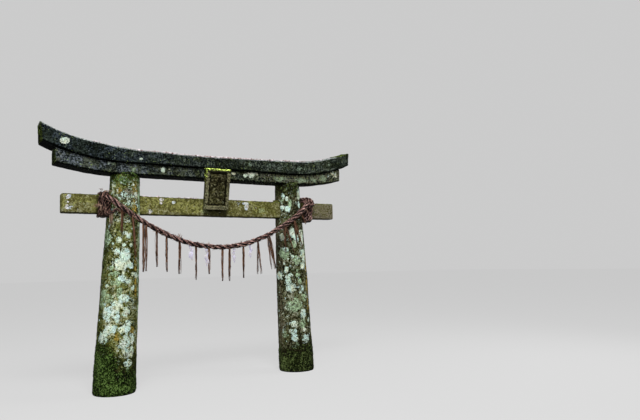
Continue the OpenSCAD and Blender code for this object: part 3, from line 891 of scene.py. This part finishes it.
def beam_fields(fields, corners, normals, ragged, blotch):
    x, z = corners[:, 0], corners[:, 2]
    up = fade(normals[:, 2], 0.35, 0.8)
    front = fade(-normals[:, 1], 0.5, 0.9)
    fields["pale_crust"] += 0.05 + 0.04 * blotch - 0.03 * up
    fields["mint_crust"] += 0.07 + 0.05 * blotch
    fields["amber_crust"] += 0.05 + 0.04 * ragged
    fields["moss"] = 0.50 * up + 0.08 + 0.08 * ragged
    fields["bare"] = 0.60 * fade(x, 1.55, 1.75) + 0.35 * (1 - fade(np.abs(z - BEAM_Z - 0.028), 0.008, 0.020))
    # painted shade where the beam meets the pillars, on its underside and low edge and on its front behind
    # the rope's turns, and the tablet's painted shadow below the tablet
    by_pillar = np.abs(np.abs(x) - abs(axis_x(1, BEAM_Z + 0.12)))
    painted_shade_at_turns = front * (1 - fade(np.abs(np.abs(x) - 1.55), 0.085, 0.115))
    painted_tablet_shadow = front * (1 - fade(np.abs(x), 0.17, 0.22)) * (1 - fade(z, 2.45, 2.49))
    underside = (0.95 * (1 - fade(normals[:, 2], -0.8, -0.35))
                 + 0.75 * (1 - fade(z, BEAM_Z + 0.004, BEAM_Z + 0.016)))
    fields["damp_and_painted_shade"] = (0.50 * (1 - fade(by_pillar, 0.195, 0.235)) + underside + 0.85 * painted_shade_at_turns
                      + 0.65 * painted_tablet_shadow)


def lower_fields(fields, corners, normals, ragged, blotch):
    x, z = corners[:, 0], corners[:, 2]
    right = fade(x, -0.1, 0.9)
    left_tip = 1 - fade(x, -2.15, -1.95)
    low = 1 - fade(z - lower_under(x), 0.012, 0.030)
    front = fade(-normals[:, 1], 0.5, 0.9)
    fields["pale_crust"] += 0.03 + 0.07 * right + 0.05 * blotch
    fields["mint_crust"] += 0.04 + 0.10 * right
    fields["amber_crust"] += 0.02 + 0.08 * right + 0.03 * ragged
    fields["moss"] = np.maximum(0.10 + 0.14 * right + 0.10 * blotch, 0.55 * fade(-normals[:, 0], 0.5, 0.9))
    fields["bare"] = (0.42 * right + 0.30 * left_tip) * front + 0.05 * blotch
    # painted shade on the underside and along the low front edge, and a little darker towards the left
    under = 1 - fade(normals[:, 2], -0.8, -0.3)
    fields["damp_and_painted_shade"] = 1.1 * under + 0.75 * low + 0.06 * (1 - right)


def top_fields(fields, corners, normals, ragged, blotch):
    x, z = corners[:, 0], corners[:, 2]
    up = fade(normals[:, 2], 0.25, 0.7)
    right = fade(x, -0.2, 1.6)
    left_end = fade(-normals[:, 0], 0.5, 0.9)
    right_sliver = fade(x, 2.06, 2.12) * up
    edge = fade(z - top_edge(x), -0.014, -0.002)
    fields["pale_crust"] += 0.04 + 0.04 * blotch
    fields["mint_crust"] += 0.05 + 0.08 * right * (1 - fade(x, 1.8, 2.1))
    fields["moss"] = np.maximum(0.06 + 0.10 * blotch + 0.16 * up + 0.75 * right_sliver, 0.55 * left_end)
    fields["bare"] = 0.95 * np.maximum(up, edge)
    # painted shade on the underside and along the low front edge, and darker towards the right tip
    under = 1 - fade(normals[:, 2], -0.8, -0.3)
    low = 1 - fade(z - joint_at(x), 0.012, 0.030)
    fields["damp_and_painted_shade"] = 1.1 * under + 0.70 * low + 0.20 * fade(x, 1.9, 2.2) * (1 - up)


def strut_fields(fields, corners, normals, ragged, blotch):
    fields["pale_crust"] += 0.05 + 0.03 * blotch
    fields["mint_crust"] += 0.06
    fields["moss"] = 0.25 + 0.2 * blotch
    fields["bare"] = np.zeros(len(corners))
    # evenly darker all over
    fields["damp_and_painted_shade"] = np.full(len(corners), 0.35)


def tablet_fields(fields, corners, normals, ragged, blotch):
    x = corners[:, 0]
    along = (corners[:, 2] - TABLET_Z) / math.cos(TABLET_TILT)
    up = fade(normals[:, 2], 0.35, 0.8)
    half_panel = TABLET_W / 2 - TABLET_BORDER
    inside = np.minimum(half_panel - np.abs(x),
                        np.minimum(along - TABLET_BORDER, TABLET_L - TABLET_BORDER - along))
    front = fade(-normals[:, 1], 0.3, 0.7)
    panel = fade(inside, -0.002, 0.006) * front
    frame_share = (1 - fade(inside, -0.016, -0.008)) * front
    painted_crease_shade = fade(inside, -0.008, -0.001) * (1 - fade(inside, 0.006, 0.020)) * fade(-normals[:, 1], -0.2, 0.2)
    cap = fade(along, 0.550, 0.566) + up * fade(along, 0.40, 0.50)
    left_edge = 1 - fade(np.abs(x + TABLET_W / 2 - 0.004), 0.008, 0.018)
    fields["pale_crust"] += 0.04 + 0.05 * blotch + 0.06 * frame_share
    fields["mint_crust"] += 0.04 + 0.10 * frame_share
    fields["moss"] = np.maximum(0.95 * cap, 0.60 * left_edge * fade(along, 0.30, 0.54))
    low_frame = 1 - fade(along, 0.045, 0.060)
    fields["bare"] = frame_share * (0.62 + 0.20 * low_frame + 0.15 * blotch) + 0.12 * panel * (1 + blotch)
    # painted shade on the undersides, in the creases round the panel and under the cap, and the panel a
    # little darker
    under = 1 - fade(normals[:, 2], -0.8, -0.3)
    painted_shade_under_cap = 0.8 * fade(along, 0.52, 0.54) * (1 - fade(along, 0.545, 0.556))
    fields["damp_and_painted_shade"] = under + 0.12 * panel + 0.95 * painted_crease_shade + painted_shade_under_cap


make_pillar("left_pillar", -1, left_pillar_stone, LEFT_PALE, LEFT_MINT, LEFT_AMBER,
            moss_tops=(0.66, 0.34), moss_and_painted_shade_on_left=0.34, brown_side=0.0, grey_head=1.0, seed=3)
make_pillar("right_pillar", 1, right_pillar_stone, RIGHT_PALE, RIGHT_MINT, RIGHT_AMBER,
            moss_tops=(0.34, 0.40), moss_and_painted_shade_on_left=0.12, brown_side=0.50, grey_head=0.0, seed=23)
make_bar("tie_beam", beam_stone, "beam_stone", 0.0105, 0.012, -BEAM_T / 2, BEAM_PALE, BEAM_MINT,
         beam_fields, 41, 0.008)
make_bar("lower_lintel", lower_lintel_stone, "lintel_stone", 0.0115, 0.014, -LOWER_T / 2, LOWER_PALE,
         LOWER_MINT, lower_fields, 53)
make_bar("top_lintel", top_lintel_stone, "lintel_stone", 0.0115, 0.012, -TOP_T / 2, TOP_PALE, TOP_MINT,
         top_fields, 67, 0.012, 0.009, worn_top)
make_bar("tablet_strut", beam_stone, "tablet_stone", 0.010, 0.008, -0.1, [], [], strut_fields, 71, 0.005)
make_bar("left_wedge", beam_stone, "beam_stone", 0.005, 0.004, -0.04, [], [], strut_fields, 73, 0.003, 0.003)
make_bar("right_wedge", beam_stone, "beam_stone", 0.005, 0.004, -0.04, [], [], strut_fields, 79, 0.003, 0.003)
make_bar("tablet", tablet_stone, "tablet_stone", 0.0055, 0.005, -0.2, [], [], tablet_fields, 83, 0.004, 0.005)


# Crumbs caught on the top lintel and the beam

def model_crumb():
    """One dry crumb a unit wide: a ball drawn out to a lump and set flat on its underside."""
    bpy.ops.object.select_all(action="DESELECT")
    bpy.ops.mesh.primitive_ico_sphere_add(subdivisions=1, radius=0.5)
    crumb = bpy.context.active_object
    bpy.ops.object.mode_set(mode="EDIT")
    pick(crumb, lambda place: place.x > 0.2)
    bpy.ops.transform.translate(value=(0.18, 0.05, 0.10))
    pick(crumb, lambda place: place.z < -0.3)
    bpy.ops.transform.translate(value=(0, 0, 0.25))
    bpy.ops.mesh.select_all(action="SELECT")
    bpy.ops.transform.resize(value=(1.0, 0.8, 0.8), center_override=(0, 0, 0))
    bpy.ops.object.mode_set(mode="OBJECT")
    return crumb


def scatter_crumbs(name, slot, spots, seed):
    """Crumbs at these spots, each turned and sized by chance."""
    chance = random.Random(seed)
    crumb = model_crumb()
    placed = []
    for spot in spots:
        turn = (Matrix.Rotation(chance.uniform(0, 2 * math.pi), 4, "Z")
                @ Matrix.Rotation(chance.uniform(-0.5, 0.5), 4, "X"))
        size = CRUMB_D + CRUMB_SPREAD * chance.random() ** 1.5
        placed.append((crumb, Matrix.Translation(spot) @ turn @ Matrix.Scale(size, 4)))
    piece = joined_copies(name, placed)
    bpy.data.objects.remove(crumb)
    return hand_over(piece, dry_crumbs, slot)


def spots_on_top_lintel(count, seed):
    """Most lie along the upper front edge between the sweeps, and a few beyond and higher up."""
    chance = random.Random(seed)
    for _ in range(count):
        x = chance.gauss(0.10, 0.72) if chance.random() < 0.9 else chance.uniform(-1.9, 2.0)
        x = min(2.0, max(-2.25, x))
        back = 0.008 + 0.12 * chance.random() ** 4
        yield (x, -TOP_T / 2 + back, float(top_edge(x)) + back * RIDGE_H / (TOP_T / 2) + 0.004)


def spots_on_beam(count, seed):
    chance = random.Random(seed)
    for _ in range(count):
        side = -1 if chance.random() < 0.75 else 1
        yield (side * chance.uniform(0.24, 1.02), -BEAM_T / 2 + 0.008 + 0.12 * chance.random() ** 2,
               BEAM_Z + BEAM_H + 0.004)


scatter_crumbs("crumbs_on_top_lintel", "lintel_stone", spots_on_top_lintel(330, 19), 20)
scatter_crumbs("crumbs_on_tie_beam", "beam_stone", spots_on_beam(60, 21), 22)


# Rope and its turns, swept strand by strand

def smooth_line(points, step):
    """Points about every step metres along a smooth curve through the given points."""
    pts = [Vector(p) for p in points]
    pts = [2 * pts[0] - pts[1]] + pts + [2 * pts[-1] - pts[-2]]
    dense = []
    for a, b, c, d in zip(pts, pts[1:], pts[2:], pts[3:]):
        for k in range(12):
            t = k / 12
            dense.append(0.5 * (2 * b + (c - a) * t + (2 * a - 5 * b + 4 * c - d) * t ** 2
                                + (3 * b - a - 3 * c + d) * t ** 3))
    dense.append(pts[-2])
    dense = np.array(dense)
    run = np.concatenate([[0], np.cumsum(np.linalg.norm(np.diff(dense, axis=0), axis=1))])
    count = max(2, int(round(run[-1] / step)) + 1)
    at = np.linspace(0, run[-1], count)
    return np.stack([np.interp(at, run, dense[:, k]) for k in range(3)], 1), at


def carried_frames(line):
    """Two cross directions at each point of a line, carried along it without twist."""
    ahead = np.gradient(line, axis=0)
    ahead /= np.linalg.norm(ahead, axis=1)[:, None]
    first = np.cross(ahead[0], (0, 0, 1))
    first /= np.linalg.norm(first)
    ones, twos = [first], [np.cross(ahead[0], first)]
    for t in ahead[1:]:
        one = ones[-1] - t * np.dot(ones[-1], t)
        one /= np.linalg.norm(one)
        ones.append(one)
        twos.append(np.cross(t, one))
    return ahead, np.array(ones), np.array(twos)


def wander(run, size, seed):
    """Slow noise along a length."""
    return np.array([noise.noise(Vector((r / size, seed * 3.7, seed * 1.3))) for r in run])


def sweep_strands(name, line, radius, pitch, seed, sides=20, yarns=7):
    """Three twisted strands round a line, each a closed tube with the ridges of its yarns;
    radius is a number or one per point."""
    run = np.concatenate([[0], np.cumsum(np.linalg.norm(np.diff(line, axis=0), axis=1))])
    radius = np.broadcast_to(np.asarray(radius, float), (len(line),))
    _, one, two = carried_frames(line)
    corners, faces, uvs, painted_rope_shade = [], [], [], []
    for k in range(3):
        angle = 2 * np.pi * (run / pitch + k / 3) + 0.40 * wander(run, 0.19, seed + k)
        thick = radius * (STRAND_THICK + 0.09 * wander(run, 0.07, seed + 9 + k)
                          + 0.08 * wander(run, 0.024, seed + 19 + k))
        off = np.cos(angle)[:, None] * one + np.sin(angle)[:, None] * two
        heart = line + radius[:, None] * STRAND_OUT * off
        _, right, up = carried_frames(heart)
        turn = 2 * np.pi * np.arange(sides) / sides
        reach = thick[:, None] * (1 + 0.11 * np.cos(yarns * (turn[None, :] - 16.0 * run[:, None])))
        rings = (heart[:, None, :] + (reach * np.cos(turn))[:, :, None] * right[:, None, :]
                 + (reach * np.sin(turn))[:, :, None] * up[:, None, :])
        start = len(corners)
        corners += [tuple(c) for c in rings.reshape(-1, 3)]
        # painted shade: near black in the grooves between strands, and darker on the rope's underside
        away = np.linalg.norm(rings - line[:, None, :], axis=2)
        below = -(np.cos(turn) * right[:, 2:3] + np.sin(turn) * up[:, 2:3])
        deep = 1 - fade(away / radius[:, None], 0.75, 1.02)
        painted_rope_shade += list((deep + 0.5 * fade(below, 0.0, 0.8)).ravel())
        girth = 2 * np.pi * float(np.mean(thick))
        for i in range(len(line) - 1):
            for s in range(sides):
                a, b = start + i * sides + s, start + i * sides + (s + 1) % sides
                faces.append((a, b, b + sides, a + sides))
                v0, v1 = girth * s / sides + 0.31 * k, girth * (s + 1) / sides + 0.31 * k
                uvs += [(run[i], v0), (run[i], v1), (run[i + 1], v1), (run[i + 1], v0)]
        last = start + (len(line) - 1) * sides
        faces.append(tuple(range(start + sides - 1, start - 1, -1)))
        faces.append(tuple(range(last, last + sides)))
        uvs += [(0.0, 0.0)] * sides + [(run[-1], 0.0)] * sides
    mesh = bpy.data.meshes.new(name)
    mesh.from_pydata(corners, [], faces)
    mesh.uv_layers.new(name="lay").data.foreach_set("uv", np.asarray(uvs, float).ravel())
    mesh.update()
    piece = bpy.data.objects.new(name, mesh)
    scene.collection.objects.link(piece)
    keep_field(piece, "painted_rope_shade", np.array(painted_rope_shade))
    only(piece)
    bpy.ops.object.shade_smooth()
    return piece


def run_round_beam(back, front, off):
    """Points of one turn round the beam, off metres clear of it: over the top, down the back,
    under, and up the front."""
    half, low, high = BEAM_T / 2, BEAM_Z, BEAM_Z + BEAM_H
    middle = (back + front) / 2
    return [
        (back, -half - 0.71 * off, high + 0.71 * off), (back, -0.045, high + off), (back, 0.045, high + off),
        (back, half + 0.71 * off, high + 0.71 * off), (back, half + off, high - 0.050),
        (back, half + off, low + 0.050), (back, half + 0.71 * off, low - 0.71 * off),
        (middle, 0.045, low - off), (middle, -0.045, low - off),
        (front, -half - 0.71 * off, low - 0.71 * off), (front, -half - off, low + 0.050),
        (front, -half - off, high - 0.050),
    ]


rope_line, rope_run = smooth_line(ROPE_ROUTE, 0.0065)
rope = sweep_strands("twisted_rope", rope_line, ROPE_D / 2, ROPE_PITCH, 5)
hand_over(rope, straw_of_rope, "straw_rope", "rope")
for side_name, straw, start, runs, tail, thick, seed in (
        ("left", rope_straw_darkened_as_painted_shade, ROPE_ROUTE[0], LEFT_RUNS, LEFT_TAIL, LEFT_TURNS_R, 31),
        ("right", straw_of_rope, ROPE_ROUTE[-1], RIGHT_RUNS, RIGHT_TAIL, RIGHT_TURNS_R, 37)):
    route = [start] + [p for back, front in runs for p in run_round_beam(back, front, thick + 0.004)] + tail
    line, run = smooth_line(route, 0.0080)
    thickness = TURNS_START_R - (TURNS_START_R - thick) * fade(run, 0.04, 0.26)
    turns = sweep_strands(side_name + "_rope_turns_twisted", line, thickness, TURNS_PITCH, seed, 12, 5)
    hand_over(turns, straw, "straw_rope", side_name + "_rope_turns")


# Loose straws and tassels, from straws modelled once

def model_straw(name, steps, aside, thin, seed):
    """One straw, a unit long and a unit thick, from the origin up +Z: at each step it is
    extruded, moved aside by up to that many thicknesses, and made thinner."""
    chance = random.Random(seed)
    bpy.ops.object.select_all(action="DESELECT")
    bpy.ops.mesh.primitive_circle_add(vertices=4, radius=0.5, fill_type="NGON")
    straw = bpy.context.active_object
    straw.name = name
    bpy.ops.object.mode_set(mode="EDIT")
    bpy.ops.mesh.select_all(action="SELECT")
    centre = Vector((0, 0, 0))
    drift = Vector((chance.uniform(-1, 1), chance.uniform(-1, 1), 0)) * aside
    for _ in range(steps):
        drift = 0.6 * drift + Vector((chance.uniform(-1, 1), chance.uniform(-1, 1), 0)) * aside
        step = drift - 0.35 * Vector((centre.x, centre.y, 0)) + Vector((0, 0, 1 / steps))
        centre += step
        bpy.ops.mesh.extrude_region_move(TRANSFORM_OT_translate={"value": step})
        bpy.ops.transform.resize(value=(thin, thin, 1), center_override=centre)
    bpy.ops.mesh.select_all(action="SELECT")
    bpy.ops.mesh.normals_make_consistent(inside=False)
    bpy.ops.object.mode_set(mode="OBJECT")
    bpy.ops.object.shade_smooth()
    return straw


def laid(root, heading, length, width, turn):
    """Matrix that lays a straw pattern from its root along a heading."""
    aim = Vector((0, 0, 1)).rotation_difference(Vector(heading).normalized()).to_matrix().to_4x4()
    return (Matrix.Translation(root) @ aim @ Matrix.Rotation(turn, 4, "Z")
            @ Matrix.Diagonal((width, width, length, 1.0)))


short_straws = [model_straw(f"short_straw_{k}", 4, 0.8, 0.86, 40 + k) for k in range(4)]
long_straws = [model_straw(f"long_straw_{k}", 11, 0.5, 0.965, 50 + k) for k in range(5)]
ahead, across, upward = carried_frames(rope_line)


def loose(chance, patterns, root, heading, length, width, spread):
    """One straw of a tuft, a little off the tuft's root and heading."""
    aside = [chance.uniform(-1, 1) for _ in range(3)]
    root = [r + 0.010 * a for r, a in zip(root, aside)]
    heading = [h + spread * chance.uniform(-1, 1) for h in heading]
    return (chance.choice(patterns), laid(root, heading, length * chance.uniform(0.55, 1.1),
                                          width * chance.uniform(0.7, 1.3), chance.uniform(0, 6.3)))


stray_chance = random.Random(11)
placed = []
for _ in range(320):
    i = stray_chance.randrange(12, len(rope_line) - 12)
    turn = stray_chance.uniform(0, 2 * math.pi)
    out = math.cos(turn) * across[i] + math.sin(turn) * upward[i]
    heading = ahead[i] * stray_chance.choice((-1, 1)) + out * stray_chance.uniform(0.05, 0.50)
    reach = 0.058 if out[1] > -0.5 else 0.045
    placed.append((stray_chance.choice(short_straws),
                   laid(rope_line[i] + out * ROPE_D * 0.46, heading, stray_chance.uniform(0.025, reach),
                        stray_chance.uniform(0.0035, 0.0060), stray_chance.uniform(0, 6.3))))
for x, length, count in UPRIGHT_TUFTS:
    i = int(np.argmin(np.abs(rope_line[:, 0] - x)))
    root = rope_line[i] + np.array([0, 0, ROPE_D * 0.42])
    placed += [
        loose(stray_chance, short_straws, root, (0.2, 0.1, 1.0), length, 0.0045, 0.5) for _ in range(count)
    ]
stray_straws = hand_over(joined_copies("stray_straws_of_the_rope", placed), straw_of_strays, "straw_rope")
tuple(ROPE_ROUTE[0])

for side_name, tufts, seed in (("left", LEFT_TUFTS, 61), ("right", RIGHT_TUFTS, 67)):
    chance = random.Random(seed)
    placed = [
        loose(chance, short_straws, root, heading, length, 0.0055, spread)
        for root, heading, length, count, spread in tufts for _ in range(count)
    ]
    hand_over(joined_copies(side_name + "_turn_straws", placed), straw_of_strays, "straw_rope")


def rope_at(x):
    """Centre of the rope where it passes x."""
    xs = rope_line[:, 0]
    return np.array([x, np.interp(x, xs, rope_line[:, 1]), np.interp(x, xs, rope_line[:, 2])])


def make_tassel(number, spec):
    """A hanging tuft of long straws in two strands, which part where the real ones do."""
    chance = random.Random(100 + number)
    x_top, x_tip, z_tip = spec
    top = rope_at(x_top)
    drop = np.array([x_tip, top[1], z_tip]) - top
    parting = PARTED.get(number, 0.004)
    placed = []
    for k in range(chance.randint(18, 24)):
        side = -1 if k % 2 else 1
        reach = 1.0 if k < 6 else chance.uniform(0.55, 1.0)
        root = top + np.array([chance.uniform(-0.012, 0.012), chance.uniform(-0.010, 0.010), 0.0])
        tip = top + drop * reach + np.array([
            side * parting * reach + chance.uniform(-0.006, 0.006), chance.uniform(-0.006, 0.006), 0.0])
        fall = tip - root
        placed.append((chance.choice(long_straws), laid(
            root, fall, float(np.linalg.norm(fall)), chance.uniform(0.0058, 0.0080), chance.uniform(0, 6.3))))
    node = f"tassel_{number:02d}"
    hand_over(joined_copies(node + "_straws", placed), straw_of_tassels, "straw_rope", node)


for number, spec in enumerate(TASSELS, 1):
    make_tassel(number, spec)
for pattern in short_straws + long_straws:
    bpy.data.objects.remove(pattern)


# Paper streamers

def model_leaf():
    """One paper leaf, a unit wide and a unit long, hanging from the origin: its free edge is
    drawn down to a corner, and its middle bellies forward."""
    bpy.ops.object.select_all(action="DESELECT")
    bpy.ops.mesh.primitive_plane_add(size=1, location=(0, 0, -0.5), rotation=(math.pi / 2, 0, 0))
    leaf = bpy.context.active_object
    bpy.ops.object.transform_apply(location=True, rotation=True, scale=True)
    bpy.ops.object.mode_set(mode="EDIT")
    bpy.ops.mesh.subdivide(number_cuts=3)
    pick(leaf, lambda place: place.z < -0.99 and place.x > 0.1)
    bpy.ops.transform.translate(value=(0, 0, -0.35))
    pick(leaf, lambda place: place.z < -0.99 and place.x < -0.4)
    bpy.ops.transform.translate(value=(0, 0, 0.20))
    pick(leaf, lambda place: -0.8 < place.z < -0.2)
    bpy.ops.transform.translate(value=(0, -0.10, 0))
    pick(leaf, lambda place: place.x > 0.4)
    bpy.ops.transform.translate(value=(0, 0.09, 0))
    bpy.ops.object.mode_set(mode="OBJECT")
    return leaf


leaf = model_leaf()
for number, (x0, leaves) in enumerate(STREAMERS, 1):
    chance = random.Random(200 + number)
    hang = rope_at(x0) - np.array([0, 0, ROPE_D / 2 - 0.006])
    placed = []
    for k, (shift, width, fall) in enumerate(leaves):
        side = -1 if k % 2 else 1
        turn = Matrix.Rotation(chance.uniform(-0.35, 0.35), 4, "Z") @ Matrix.Rotation(0.10 * side, 4, "Y")
        placed.append((leaf, Matrix.Translation(hang + np.array([shift, -0.004 * side, 0])) @ turn
                       @ Matrix.Diagonal((side * width, width, fall, 1.0))))
        hang = hang - np.array([0, 0, fall * 0.93])
    node = f"streamer_{number:02d}"
    streamer = joined_copies(node + "_folded", placed)
    finish_with(streamer, "SOLIDIFY", thickness=0.0012, offset=0.0)
    bpy.ops.object.mode_set(mode="EDIT")
    bpy.ops.mesh.select_all(action="SELECT")
    bpy.ops.mesh.normals_make_consistent(inside=False)
    bpy.ops.object.mode_set(mode="OBJECT")
    bpy.ops.object.shade_smooth_by_angle(angle=math.radians(35))
    hand_over(streamer, streamer_paper, "white_paper", node)
bpy.data.objects.remove(leaf)


# Floor, light and camera

def stage_finish(name, colour, bounce, lift):
    """Pale to the camera and in reflections, and less bright in the light it throws back."""
    material, tree = new_finish(name)
    path = put(tree, "ShaderNodeLightPath")
    seen = sums(tree, "MAXIMUM", path.outputs["Is Camera Ray"], path.outputs["Is Glossy Ray"])
    seen = sums(tree, "MAXIMUM", seen, path.outputs["Is Transmission Ray"])
    tone = over(tree, seen, bounce, colour)
    shader = put(tree, "ShaderNodeBsdfPrincipled", {"Base Color": tone, "Roughness": 0.9})
    shader.inputs["Specular IOR Level"].default_value = 0.0
    glow = put(tree, "ShaderNodeEmission", {
        "Color": (1, 1, 1, 1), "Strength": sums(tree, "MULTIPLY", seen, lift),
    })
    both = put(tree, "ShaderNodeAddShader")
    tree.links.new(shader.outputs[0], both.inputs[0])
    tree.links.new(glow.outputs[0], both.inputs[1])
    put(tree, "ShaderNodeOutputMaterial", {"Surface": both.outputs[0]})
    return material


bpy.ops.object.select_all(action="DESELECT")
bpy.ops.mesh.primitive_plane_add(size=160, location=(0, 0, 0))
floor = bpy.context.active_object
floor.name = "pale_floor"
floor.data.materials.append(stage_finish("pale_floor", (0.10, 0.10, 0.10), (0.05, 0.05, 0.045), 0.56))

world = bpy.data.worlds.new("pale_room")
scene.world = world
world.use_nodes = True
tree = world.node_tree
tree.nodes.clear()
path = put(tree, "ShaderNodeLightPath")
seen = sums(tree, "MAXIMUM", path.outputs["Is Camera Ray"], path.outputs["Is Transmission Ray"])
strength = over(tree, seen, (0.22, 0.22, 0.22), (0.60, 0.60, 0.60))
room = put(tree, "ShaderNodeBackground", {"Color": (1.0, 1.0, 1.0, 1.0), "Strength": strength})
put(tree, "ShaderNodeOutputWorld", {"Surface": room.outputs[0]})


def soft_light(name, place, aim, size, power):
    data = bpy.data.lights.new(name, "AREA")
    data.shape = "DISK"
    data.size = size
    data.energy = power
    lamp = bpy.data.objects.new(name, data)
    scene.collection.objects.link(lamp)
    lamp.location = place
    lamp.rotation_euler = (Vector(aim) - Vector(place)).to_track_quat("-Z", "Y").to_euler()
    return lamp


soft_light("overhead_softbox", (-3.0, -9.5, 14.0), (0, 0, 2), 6.5, 3100)
soft_light("front_softbox", (-7.5, -7.5, 4.0), (0, 0, 1.6), 5.0, 450)
soft_light("right_softbox", (7.0, -2.5, 5.0), (0.5, 0, 2.0), 4.0, 250)

# The camera as fitted to the photograph: how it is turned, and where it stands
YAW, PITCH, ROLL = 0.5625, 0.0908, -0.0216
EYE = (-3.2906, -8.1897, 1.6268)
forward = Vector((math.sin(YAW) * math.cos(PITCH), math.cos(YAW) * math.cos(PITCH), math.sin(PITCH)))
level = Vector((math.cos(YAW), -math.sin(YAW), 0))
lift = level.cross(forward)
right = math.cos(ROLL) * level + math.sin(ROLL) * lift
up = -math.sin(ROLL) * level + math.cos(ROLL) * lift
camera_data = bpy.data.cameras.new("camera")
camera_data.lens = 33.31
camera_data.sensor_width = 36.0
camera_data.clip_end = 400
camera = bpy.data.objects.new("camera", camera_data)
scene.collection.objects.link(camera)
camera.matrix_world = Matrix((
    (right.x, up.x, -forward.x, EYE[0]),
    (right.y, up.y, -forward.y, EYE[1]),
    (right.z, up.z, -forward.z, EYE[2]),
    (0, 0, 0, 1),
))
scene.camera = camera
scene.view_settings.view_transform = "Standard"
